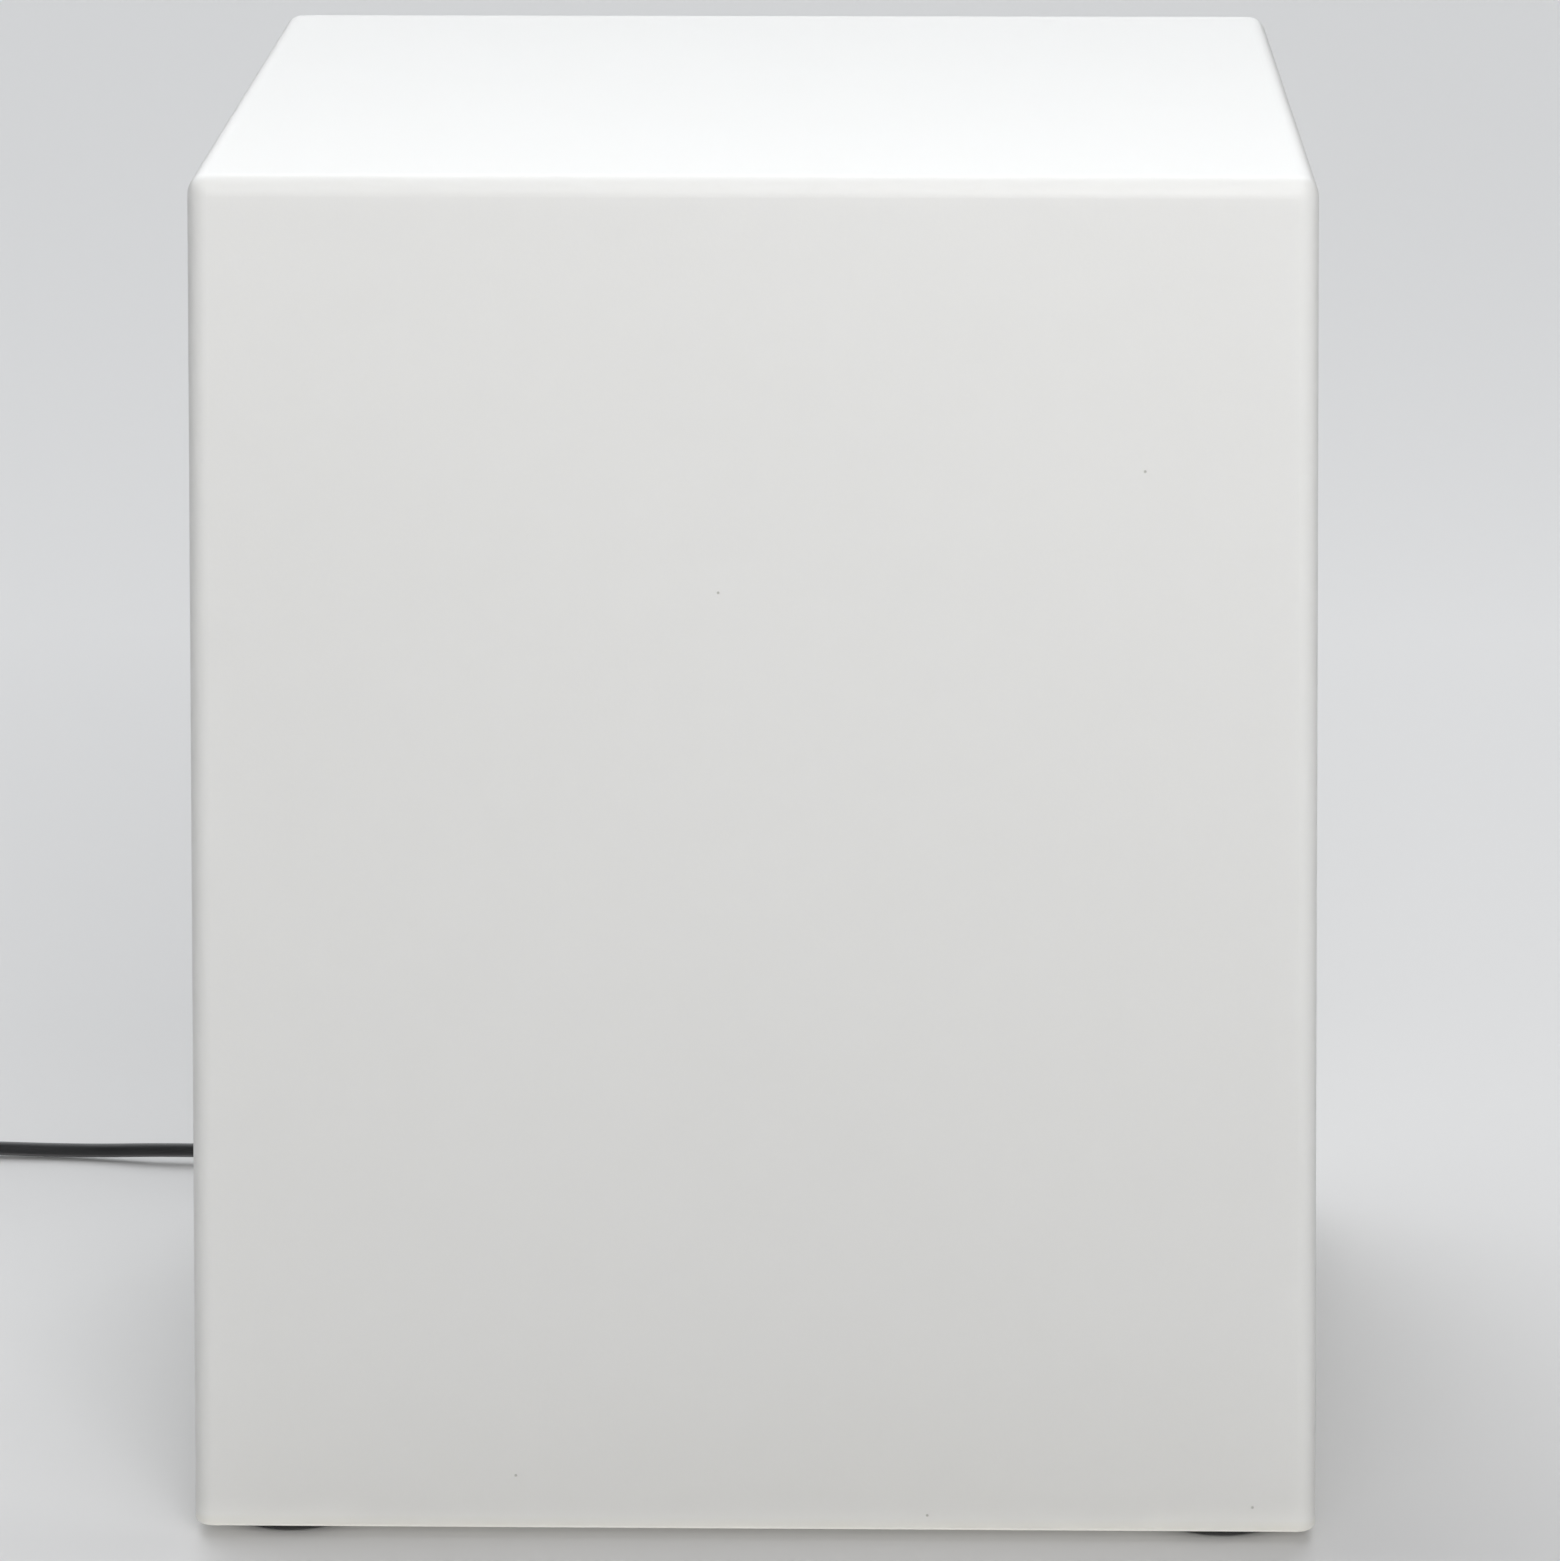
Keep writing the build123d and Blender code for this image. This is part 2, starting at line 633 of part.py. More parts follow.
def gland_locknut():
    nut = hexagon(LOCKNUT_FLATS, PLATE_TOP, PLATE_TOP + LOCKNUT)
    return nut - rod(GLAND_THREAD_R + THREAD_FIT, PLATE_TOP, PLATE_TOP + LOCKNUT)


def lamp_bracket():
    """A bridge of bent sheet that stands over the gland and carries the lamp holder."""
    low, high = BRACKET_LOW + SHEET / 2, BRIDGE_TOP - SHEET / 2
    places = [
        (-BRACKET_FOOT, low),
        (-BRIDGE_HALF, low),
        (-BRIDGE_HALF, high),
        (BRIDGE_HALF, high),
        (BRIDGE_HALF, low),
        (BRACKET_FOOT, low),
    ]
    middle = FilletPolyline(*places, radius=BEND_R + SHEET / 2)
    strip = trace(middle, line_width=SHEET)
    plane = Plane(origin=(0, BRACKET_WIDTH / 2, 0), x_dir=(1, 0, 0), z_dir=(0, -1, 0))
    bracket = extrude(plane * strip, amount=BRACKET_WIDTH)
    for side in (-1, 1):
        at = (side * BRACKET_SCREW_AT, 0)
        bracket -= rod(BRACKET_SCREW_R + HOLE_FIT, BRACKET_LOW, BRACKET_LOW + SHEET, at)
    return bracket - rod(NIPPLE_R + 2 * THREAD_FIT, BRIDGE_TOP - SHEET, BRIDGE_TOP)


def bracket_screws():
    """Screws that point down into the plate's posts."""
    high = BRACKET_LOW + SHEET + BRACKET_SCREW_HEAD
    length = BRACKET_SCREW_HEAD + SHEET + BRACKET_SCREW_REACH
    upright = cylinder_head_screw(
        (0, 0), 0, BRACKET_SCREW_HEAD, BRACKET_SCREW_HEAD_R, BRACKET_SCREW_R, length
    )
    return [
        Pos(side * BRACKET_SCREW_AT, 0, high) * Rot(180, 0, 0) * upright for side in (-1, 1)
    ]


# ---------------------------------------------------------------- lamp holder


def holder_nipple():
    return tube(NIPPLE_R, NIPPLE_BORE_R, BRIDGE_TOP - NIPPLE_BELOW, BRIDGE_TOP + NIPPLE_ABOVE)


def nipple_nut():
    high = BRIDGE_TOP - SHEET
    nut = hexagon(NIPPLE_NUT_FLATS, high - NIPPLE_NUT, high)
    return nut - rod(NIPPLE_R + THREAD_FIT, high - NIPPLE_NUT, high)


def holder_cap():
    """The lower half: a threaded neck that widens to the terminal chamber."""
    bore = NIPPLE_R + THREAD_FIT
    low = BRIDGE_TOP
    seat = low + PUCK_LOW
    inside = HOLDER_R - HOLDER_WALL
    return turned(
        (bore, low),
        (HOLDER_NECK_R, low),
        (HOLDER_NECK_R, low + 4),
        (HOLDER_R - 3, low + 8),
        (HOLDER_R, low + 11),
        (HOLDER_R, low + HOLDER_CAP),
        (inside, low + HOLDER_CAP),
        (inside, seat),
        (inside - HOLDER_WALL, seat),
        (inside - HOLDER_WALL, seat - 1.5),
        (HOLDER_NECK_R, low + 7),
        (bore, low + 7),
    )


def holder_puck():
    """The insulating insert that carries the contacts, with slots for the terminals."""
    low, high = BRIDGE_TOP + PUCK_LOW, BRIDGE_TOP + PUCK_LOW + PUCK_HEIGHT
    width, depth, height = [size + 2 * PUCK_FIT for size in TERMINAL_BLOCK]
    puck = rod(HOLDER_R - HOLDER_WALL - PUCK_FIT, low, high)
    puck -= rod(CORD_R + 1, low, low + PUCK_HEIGHT / 2)
    for side in (-1, 1):
        puck -= Pos(side * TERMINAL_AT, 0, low) * Box(width, depth, height, align=UPWARD)
    return puck


def terminal(side):
    """A brass block in the puck's slot with a hole for its core and one for its screw."""
    width, depth, height = TERMINAL_BLOCK
    low = BRIDGE_TOP + PUCK_LOW
    block = Pos(side * TERMINAL_AT, 0, low) * Box(width, depth, height, align=UPWARD)
    block -= rod(CORE_R + 2 * THREAD_FIT, low, low + TERMINAL_DEPTH, (side * TERMINAL_AT, 0))
    hole = Cylinder(TERMINAL_SCREW_R + THREAD_FIT, depth / 2, align=UPWARD)
    return block - Pos(side * TERMINAL_AT, 0, low + height / 2) * Rot(90, 0, 0) * hole


def terminal_screw(side):
    """A slotted grub screw that presses on the core from the front."""
    depth = TERMINAL_BLOCK[1]
    inner, outer = CORE_R + THREAD_FIT, depth / 2
    screw = Cylinder(TERMINAL_SCREW_R, outer - inner, align=UPWARD)
    screw -= Pos(0, 0, outer - inner) * Box(2 * TERMINAL_SCREW_R, 0.5, 1.4)
    height = BRIDGE_TOP + PUCK_LOW + TERMINAL_BLOCK[2] / 2
    return Pos(side * TERMINAL_AT, -inner, height) * Rot(90, 0, 0) * screw


def holder_body():
    """The upper half: a ribbed skirt round the threaded shell."""
    low, wall = BRIDGE_TOP + HOLDER_CAP, HOLDER_WALL
    seat_r = THREADED_SHELL_R + THREADED_SHELL_WALL + THREAD_FIT
    seat_low = BRIDGE_TOP + THREADED_SHELL_LOW - 1
    seat_high = BRIDGE_TOP + THREADED_SHELL_LOW + THREADED_SHELL_HEIGHT
    inside = HOLDER_R - wall
    body = turned(
        (HOLDER_R, low),
        (HOLDER_R, low + 4),
        (HOLDER_R - 1, low + 5),
        (HOLDER_R - 1, HOLDER_TOP - 1),
        (HOLDER_R - 2, HOLDER_TOP),
        (HOLDER_MOUTH_R, HOLDER_TOP),
        (HOLDER_MOUTH_R, seat_high),
        (seat_r, seat_high),
        (seat_r, seat_low),
        (inside, seat_low - 2),
        (inside, low),
    )
    for at in around(SKIRT_RIBS, HOLDER_R - SKIRT_RIB_R):
        body += rod(SKIRT_RIB_R, low + 5, HOLDER_TOP - 3, at)
    return body


def threaded_shell():
    low = BRIDGE_TOP + THREADED_SHELL_LOW
    outer = THREADED_SHELL_R + THREADED_SHELL_WALL
    return tube(outer, THREADED_SHELL_R, low, low + THREADED_SHELL_HEIGHT)


def contact_strip(points, width):
    """A bent strip in the XZ plane, from its middle line's (x, z) points."""
    strip = trace(FilletPolyline(*points, radius=CONTACT_BEND_R), line_width=CONTACT_SHEET)
    plane = Plane(origin=(0, width / 2, 0), x_dir=(1, 0, 0), z_dir=(0, -1, 0))
    return extrude(plane * strip, amount=width)


def centre_contact():
    """A sprung tongue whose free end waits under the bulb's tip."""
    seat = BRIDGE_TOP + PUCK_LOW + PUCK_HEIGHT + CONTACT_SHEET / 2
    crown = BULB_TIP - CONTACT_GAP - CONTACT_SHEET / 2
    return contact_strip([(9, seat), (4, seat), (2, crown), (-3, crown)], CENTRE_CONTACT_WIDTH)


def side_contact():
    """A tongue from the puck to the lower edge of the threaded shell."""
    seat = BRIDGE_TOP + PUCK_LOW + PUCK_HEIGHT + CONTACT_SHEET / 2
    top = BRIDGE_TOP + THREADED_SHELL_LOW
    out = THREADED_SHELL_R + CONTACT_SHEET / 2
    return contact_strip([(-8, seat), (-out, seat), (-out, top)], SIDE_CONTACT_WIDTH)


def inner_cord():
    """The flex from the gland's mouth up to its end inside the lamp holder."""
    return rod(CORD_R, CORD_EXIT, SHEATH_END)


def core(side):
    """One insulated core, from the sheath's end out to its terminal."""
    start, rise = side * (CORE_R + 0.15), SHEATH_END
    low = BRIDGE_TOP + PUCK_LOW
    places = [
        (start, 0, rise),
        (start, 0, rise + 1.6),
        (side * TERMINAL_AT, 0, low - 1.2),
        (side * TERMINAL_AT, 0, low + 4),
    ]
    path = FilletPolyline(*places, radius=1.3)
    section = Plane(origin=places[0], z_dir=(0, 0, 1)) * Circle(CORE_R)
    return sweep(section, path=path)


# ---------------------------------------------------------------- LED bulb


def bulb_contact():
    """The bulb's tip: a low button with a bevelled edge."""
    high, r = BULB_TIP + TIP_HEIGHT, TIP_R
    return turned((0, BULB_TIP), (r - 1.3, BULB_TIP), (r, high - 0.7), (r, high), (0, high))


def bulb_insulator():
    low, high = BULB_TIP + TIP_HEIGHT, BULB_TIP + BULB_CAP_LOW
    return turned((0, low), (TIP_R + 0.7, low), (BULB_CAP_FOOT_R, high), (0, high))


def bulb_cap():
    """The screw cap: a thin metal cup, narrowed at its foot and flared at its rim."""
    low, high = BULB_TIP + BULB_CAP_LOW, BULB_TIP + BULB_CAP_HIGH
    wall, rim_r = BULB_CAP_WALL, BULB_CAP_R + CAP_RIM
    return turned(
        (0, low),
        (BULB_CAP_FOOT_R, low),
        (BULB_CAP_R, low + 2),
        (BULB_CAP_R, high - 3),
        (rim_r, high - 2),
        (rim_r, high),
        (rim_r - wall, high),
        (rim_r - wall, high - 2),
        (BULB_CAP_R - wall, high - 3),
        (BULB_CAP_R - wall, low + 2.2),
        (BULB_CAP_FOOT_R - 0.3, low + wall),
        (0, low + wall),
    )


def globe_rim_r():
    """The globe's radius where it meets the housing."""
    drop = BULB_LENGTH - BULB_R - BULB_HOUSING_HIGH
    return math.sqrt(BULB_R**2 - drop**2)


def bulb_housing():
    """The plastic body: a neck that flares to the globe, with a ledge for the LED board."""
    low, high = BULB_TIP + BULB_CAP_HIGH, BULB_TIP + BULB_HOUSING_HIGH
    wall, seat_r = BULB_HOUSING_WALL, globe_rim_r() + RUNNING
    rim, flare_low = globe_rim_r() + BULB_HOUSING_WALL, low + BULB_NECK
    outline = [
        Line((BULB_NECK_R, 0, low), (BULB_NECK_R, 0, flare_low)),
        Bezier(
            (BULB_NECK_R, 0, flare_low),
            (BULB_NECK_R, 0, flare_low + FLARE_LOW),
            (rim, 0, high - FLARE_HIGH),
            (rim, 0, high),
        ),
        Line((rim, 0, high), (seat_r, 0, high)),
        Line((seat_r, 0, high), (seat_r, 0, BOARD_LOW)),
        Line((seat_r, 0, BOARD_LOW), (rim - 2 * wall, 0, BOARD_LOW)),
        Bezier(
            (rim - 2 * wall, 0, BOARD_LOW),
            (rim - 2 * wall, 0, high - FLARE_HIGH),
            (BULB_NECK_R - wall, 0, flare_low + FLARE_LOW),
            (BULB_NECK_R - wall, 0, flare_low),
        ),
        Line((BULB_NECK_R - wall, 0, flare_low), (BULB_NECK_R - wall, 0, low)),
        Line((BULB_NECK_R - wall, 0, low), (BULB_NECK_R, 0, low)),
    ]
    return revolve(make_face(outline), Axis.Z)


def bulb_globe():
    """The diffuser: a thin ball whose collar stands in the housing's rim, on the board."""
    middle = BULB_TIP + BULB_LENGTH - BULB_R
    high = BULB_TIP + BULB_HOUSING_HIGH
    rim = globe_rim_r()
    ball = Pos(0, 0, middle) * (Sphere(BULB_R) - Sphere(BULB_R - GLOBE_WALL))
    ball -= rod(BULB_R + 1, middle - BULB_R - 1, high)
    return ball + tube(rim, rim - GLOBE_WALL, BOARD_LOW + BOARD + THREAD_FIT, high)


def led_board():
    """The round board on the housing's ledge, with two holes for its wires."""
    board = rod(globe_rim_r(), BOARD_LOW, BOARD_LOW + BOARD)
    for side in (-1, 1):
        board -= rod(WIRE_HOLE_R, BOARD_LOW, BOARD_LOW + BOARD, (side * WIRE_HOLE_AT, 0))
    return board


def led_chips():
    return [
        Pos(*at, BOARD_LOW + BOARD) * Box(*CHIP, align=UPWARD)
        for ring in CHIP_RINGS
        for at in around(*ring)
    ]


def led_driver():
    """The driver board that stands in the neck, with its capacitor and coil."""
    low = BULB_TIP + BULB_CAP_HIGH - DRIVER_DROP
    board = Pos(0, 0, low) * Box(DRIVER_WIDTH, BOARD, BOARD_LOW - low, align=UPWARD)
    sunk = 0.2  # into the board, so that they are one solid with it
    back, front = CAPACITOR_R + BOARD / 2 - sunk, INDUCTOR[1] / 2 + BOARD / 2 - sunk
    capacitor = rod(CAPACITOR_R, low + 12, low + 12 + CAPACITOR_LENGTH, (2, back))
    inductor = Pos(-4, -front, low + 14) * Box(*INDUCTOR, align=UPWARD)
    return board + capacitor + inductor


def neck_seal():
    """The soft ring pushed over the bulb's neck, which seats on the holder's rim."""
    low = HOLDER_TOP + RUNNING
    inner = BULB_NECK_R + 0.3
    return turned(
        (inner, low),
        (NECK_SEAL_R - 1, low),
        (NECK_SEAL_R, low + 1),
        (NECK_SEAL_R - 1.5, low + NECK_SEAL),
        (inner, low + NECK_SEAL),
    )


# ---------------------------------------------------------------- lead and plug

# The free stretch's route is chosen by hand: down from the gland, along the channel, out at the
# back, round behind the shell with a low lift off the floor, and away to the left.
LEAD_ROUTE = [
    (0, 0, CORD_EXIT),
    (0, 0, 24.0),
    (0, 8, 12.5),
    (0, 22, 5.3),
    (0.5, 44, CORD_R),
    (-0.5, 78, CORD_R),
    (0.8, 124, CORD_R),
    (0, 168, CORD_R),
    (-3, 206, CORD_R),
    (-19, 236, 3.0),
    (-48, 251, 3.0),
    (-100, 251, 3.0),
    (-162, 243, 3.0),
    (-212, 235.5, 5.2),
    (-254, 236, 5.8),
    (-292, 242.6, 3.0),
    (-327, 244.6, 3.2),
    (-360, 245, COIL_LOW),
    (-392, 245, COIL_LOW),
]

# The tail's steps from the coil's end: across, along, and the share of the drop to the plug.
TAIL_STEPS = [(16, 0, 0.0), (15, -5.5, 0.25), (11.5, -11.5, 0.5), (5.5, -15, 0.25), (0, -16, 0.0)]


def corner_radii(points):
    """Each corner's radius: 0.45 of its shorter run over the tangent of half the turn."""
    places = [Vector(*point) for point in points]
    radii = []
    for before, here, after in zip(places, places[1:], places[2:]):
        run, next_run = here - before, after - here
        half_turn = math.radians(run.get_angle(next_run)) / 2
        radii.append(0.45 * min(run.length, next_run.length) / math.tan(half_turn))
    return radii


def round_tube(name, path):
    """A tube of the flex's section along a path of tangent lines and arcs."""
    section = Plane(origin=path @ 0, z_dir=path % 0) * Circle(CORD_R)
    solid = sweep(section, path=path)
    share = solid.volume / (path.length * math.pi * CORD_R**2)
    print(f"{name}: length {path.length:.1f}, volume over section times length {share:.4f}")
    return solid


def free_flex(name, points):
    """A stretch of flex through hand-chosen points, and its length."""
    radii = corner_radii(points)
    print(f"{name}: radii", [round(radius) for radius in radii])
    path = Wire(FilletPolyline(*points, radius=radii).edges())
    return round_tube(name, path), path.length


def tail_route(start):
    """The route from the coil's end down to the plug's height."""
    drop = start.Z - PLUG_HEIGHT / 2
    points, here = [start], start
    for across, along, share in TAIL_STEPS:
        here = here + Vector(across, along, -drop * share)
        points.append(here)
    return [tuple(point) for point in points]


def half_turns():
    """Each half turn of the coil: (on the left side, shift of its centre, change of its radius
    from the first one's, whether it climbs).

    The layers wind in and out in turn. A climbing half turn is always on the right, one pitch
    inside or outside its neighbours there and on the same centre, so that it clears them."""
    steps = []
    inward = [-k * PITCH / 2 for k in range(HALF_TURN_COUNT)]
    for layer in range(LAYERS):
        winds_in = layer % 2 == 0
        for k, change in enumerate(inward if winds_in else inward[::-1]):
            left = k % 2 == 0
            shift = (PITCH / 2 if winds_in else -PITCH / 2) if left else 0.0
            steps.append((left, shift, change, False))
        if layer < LAYERS - 1:
            climb = inward[-1] - PITCH / 2 if winds_in else PITCH / 2
            steps.append((False, 0.0, climb, True))
    return steps


def coil_radius(length):
    """The first half turn's radius, which follows from the length that the coil holds."""
    changes = [change for _, _, change, _ in half_turns()]
    return ((length - 2 * STRAIGHT) / math.pi - sum(changes)) / len(changes)


def coil_path(start, radius):
    """One path of half turns from start, heading -X, with a straight run at each end."""
    middle = Vector(*start) - Vector(STRAIGHT, radius + PITCH / 2, 0)
    edges = [Edge.make_line(start, middle + Vector(0, radius + PITCH / 2, 0))]
    height = 0.0
    for left, shift, change, climbs in half_turns():
        r, side = radius + change, 1 if left else -1
        heading = Vector(-side, 0, 0)
        first = middle + Vector(0, shift + side * r, height)
        last = middle + Vector(0, shift - side * r, height)
        if climbs:
            last += Vector(0, 0, PITCH)
            halfway = (first + last) / 2 + heading * ((last - first).length / 2)
            edges.append(Edge.make_tangent_arc(first, heading, halfway))
            edges.append(Edge.make_tangent_arc(halfway, last - first, last))
            height += PITCH
        else:
            halfway = middle + Vector(-side * r, shift, height)
            edges.append(Edge.make_three_point_arc(first, halfway, last))
    end = edges[-1] @ 1
    edges.append(Edge.make_line(end, end + Vector(STRAIGHT, 0, 0)))
    return edges, middle


def least_gap(edges, step=3.0):
    """The tube's least gap to itself, on points step apart that lie over 60 mm apart along it."""
    points = []
    for edge in edges:
        count = max(1, round(edge.length / step))
        points += [tuple(edge @ (k / count)) for k in range(count)]
    far = round(60 / step)
    nearest = min(
        math.dist(points[i], points[j])
        for i in range(len(points))
        for j in range(i + far, len(points))
    )
    return nearest - 2 * CORD_R


def coil_tie(middle, inner, outer, angle):
    """A flat strap round the bundle of turns between two radii, across it at an angle."""
    reach = (TIE_WIDTH + PITCH) / 2
    bow = inner - math.sqrt(inner**2 - reach**2)
    low_r, high_r = inner - bow - TIE_FIT, outer + TIE_FIT
    width, height = high_r - low_r, LAYERS * PITCH - COIL_GAP + 2 * TIE_FIT
    loop = RectangleRounded(width + 2 * TIE, height + 2 * TIE, CORD_R + TIE)
    loop -= RectangleRounded(width, height, CORD_R)
    across = Plane(origin=(0, TIE_WIDTH / 2, 0), x_dir=(1, 0, 0), z_dir=(0, -1, 0))
    strap = extrude(across * loop, amount=TIE_WIDTH)
    place = Pos((low_r + high_r) / 2, 0, height / 2 + TIE)
    return Pos(middle.X, middle.Y, 0) * Rot(0, 0, angle) * place * strap


def plug_boot():
    """The ribbed strain relief, along +Z from the flex."""
    pitch = PLUG_BOOT / BOOT_RIBS
    corners = [(0, 0)]
    for k in range(BOOT_RIBS):
        core_r = CORD_R + BOOT_WALL + (BOOT_R - CORD_R - BOOT_WALL) * k / BOOT_RIBS
        rib_r, low, high = core_r + BOOT_RIB, k * pitch, (k + 1) * pitch
        corners += [(rib_r, low), (rib_r, high - BOOT_GROOVE)]
        corners += [(core_r, high - BOOT_GROOVE), (core_r, high)]
    return turned(*corners, (0, PLUG_BOOT))


def plug_body():
    """The moulded grip: waisted behind, widening to the flat face that carries the pins."""
    sections = [
        Pos(0, 0, PLUG_BOOT + along) * RectangleRounded(width, height, corner)
        for along, width, height, corner in PLUG_SECTIONS
    ]
    body = loft(sections, ruled=True)
    body = fillet(body.edges().group_by(Axis.Z)[-1], PLUG_EDGE_R)
    face = PLUG_BOOT + PLUG_LENGTH
    for side in (-1, 1):
        body -= rod(PIN_ROOT_R, face - PIN_ROOT, face, (side * PIN_SPACING / 2, 0))
    return body


def plug_pins():
    """Two round pins with rounded tips and a narrower root in the plug."""
    face, pins = PLUG_BOOT + PLUG_LENGTH, []
    for side in (-1, 1):
        at = (side * PIN_SPACING / 2, 0)
        pin = rod(PIN_R, face, face + PIN_LENGTH, at)
        pin = fillet(pin.edges().group_by(Axis.Z)[-1], PIN_R / 2)
        pins.append(pin + rod(PIN_ROOT_R, face - PIN_ROOT, face, at))
    return pins


def write_lead():
    """The lead's stretches, its coil and ties, and the plug that lies beside them."""
    lead, lead_length = free_flex("cord_lead", LEAD_ROUTE)
    tail_length = free_flex("cord_tail", tail_route(Vector(0, 0, COIL_TOP)))[1]
    radius = coil_radius(CORD_LENGTH - lead_length - tail_length)
    edges, middle = coil_path(LEAD_ROUTE[-1], radius)
    route = tail_route(edges[-1] @ 1)
    print(f"cord_coil: first radius {radius:.2f}, middle {middle.X:.2f}, {middle.Y:.2f}")
    print(f"cord_coil: least gap to itself {least_gap(edges):.2f}")
    print("cord_tail: route", [tuple(round(x, 2) for x in point) for point in route])
    write("cord_lead", lead)
    write("cord_coil", round_tube("cord_coil", Wire(edges)))
    write("cord_tail", free_flex("cord_tail", route)[0])

    left_inner = radius - (HALF_TURN_COUNT - 1) * PITCH / 2 - CORD_R
    write(
        "coil_ties",
        coil_tie(middle, left_inner, radius + CORD_R, 180),
        coil_tie(middle, left_inner - PITCH / 2, radius + PITCH / 2 + CORD_R, 0),
    )
    place = Pos(*route[-1]) * Rot(90, 0, 0)
    write("plug_boot", place * plug_boot())
    write("plug_body", place * plug_body())
    write("plug_pins", *[place * pin for pin in plug_pins()])


def main():
    os.makedirs("parts", exist_ok=True)
    feet, washers, screws, inserts = foot_pieces()
    write("shell", shell())
    write("rubber_feet", *feet)
    write("foot_washers", *washers)
    write("foot_screws", *screws)
    write("foot_inserts", *inserts)

    write("neck_collar", neck_collar())
    write("collar_gasket", collar_gasket())
    write("collar_screws", *collar_screws())

    write("base_plate", base_plate())
    write("plate_seal", plate_seal())
    write("gland_pad", gland_pad())
    write("gland_body", gland_body())
    write("gland_seal", gland_seal())
    write("gland_dome_nut", gland_dome_nut())
    write("gland_locknut", gland_locknut())
    write("lamp_bracket", lamp_bracket())
    write("bracket_screws", *bracket_screws())

    write("holder_nipple", holder_nipple())
    write("nipple_nut", nipple_nut())
    write("holder_cap", holder_cap())
    write("holder_puck", holder_puck())
    write("terminals", terminal(-1), terminal(1))
    write("terminal_screws", terminal_screw(-1), terminal_screw(1))
    write("holder_body", holder_body())
    write("threaded_shell", threaded_shell())
    write("centre_contact", centre_contact())
    write("side_contact", side_contact())
    write("inner_cord", inner_cord())
    write("core_brown", core(-1))
    write("core_blue", core(1))

    write("bulb_contact", bulb_contact())
    write("bulb_insulator", bulb_insulator())
    write("bulb_cap", bulb_cap())
    write("bulb_housing", bulb_housing())
    write("bulb_globe", bulb_globe())
    write("led_board", led_board())
    write("led_chips", *led_chips())
    write("led_driver", led_driver())
    write("neck_seal", neck_seal())

    write_lead()


main()
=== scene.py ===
# %% [markdown]
# # A tall outdoor light box
#
# The real object is a hollow white box, moulded in one piece from polyethylene. It stands on four
# rubber feet, and a light unit twists into its underside. A black rubber flex comes out at the back
# and leads off to the left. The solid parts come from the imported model, which stays where it is.
# This lesson sets up the picture and gives the parts their finishes. It models the lamp's threads,
# the feet, the plug and the coil's straps anew, and lays the flex as one smooth curve.

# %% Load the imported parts
import json
import math

import bpy
from mathutils import Matrix, Vector


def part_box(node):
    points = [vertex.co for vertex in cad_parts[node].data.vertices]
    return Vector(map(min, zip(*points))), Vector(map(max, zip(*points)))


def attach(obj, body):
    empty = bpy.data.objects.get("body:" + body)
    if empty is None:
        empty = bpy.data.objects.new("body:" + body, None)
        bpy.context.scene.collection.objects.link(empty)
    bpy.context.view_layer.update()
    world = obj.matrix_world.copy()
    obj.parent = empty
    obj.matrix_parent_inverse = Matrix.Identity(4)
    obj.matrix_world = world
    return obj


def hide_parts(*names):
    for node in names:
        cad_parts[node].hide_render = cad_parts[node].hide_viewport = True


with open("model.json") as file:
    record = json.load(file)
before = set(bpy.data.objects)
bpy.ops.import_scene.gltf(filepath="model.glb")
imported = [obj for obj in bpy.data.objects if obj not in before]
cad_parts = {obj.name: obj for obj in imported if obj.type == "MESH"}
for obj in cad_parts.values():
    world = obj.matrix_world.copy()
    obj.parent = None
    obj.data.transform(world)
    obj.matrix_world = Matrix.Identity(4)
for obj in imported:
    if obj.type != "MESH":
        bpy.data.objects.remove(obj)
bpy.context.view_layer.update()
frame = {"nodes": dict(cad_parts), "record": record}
NODES = frame["nodes"]
SLOT_OF = {row["node"]: row["material_slot"] for row in frame["record"]["subparts"]}

# %% [markdown]
# ## The camera
#
# The photograph was taken from a little above and almost straight on, with a long lens, so the
# upright edges hardly converge. A camera is turned here in three steps, as a photographer would do
# it: swing it a little to the left, tip it down, and level it. The order matters, so the three
# turns are multiplied as matrices instead of being typed in as angles.

# %% Set the camera
LENS_MM, SENSOR_MM = 157.09, 36.0
CAMERA_PLACE = (0.05535, -2.4798, 0.87739)
SWING, TIP_DOWN, LEVEL = 0.0201, 0.2559, -0.0011  # radians


def turn(angle, axis):
    return Matrix.Rotation(angle, 3, axis)


camera_data = bpy.data.cameras.new("camera")
camera = bpy.data.objects.new("camera", camera_data)
bpy.context.scene.collection.objects.link(camera)
camera_data.lens = LENS_MM
camera_data.sensor_width = SENSOR_MM
camera_data.clip_start = 0.05
camera.location = CAMERA_PLACE
camera_turn = turn(SWING, "Z") @ turn(math.pi / 2 - TIP_DOWN, "X") @ turn(LEVEL, "Z")
camera.rotation_euler = camera_turn.to_euler()
bpy.context.scene.camera = camera
print("camera:", LENS_MM, "mm lens,", round(camera.location.length, 2), "m from the middle")

# %% [markdown]
# ## Floor and light
#
# A white object needs a floor that is darker than itself, or its edges vanish. The floor is one
# large plane, which fills the picture right up to its top edge because the camera looks down. The
# light is soft. Wide suns behind and above give the top face its even tone, and two panels in
# front light the front face, which fades slowly towards the floor. The plain tone curve keeps the
# whites where they are in the photograph.

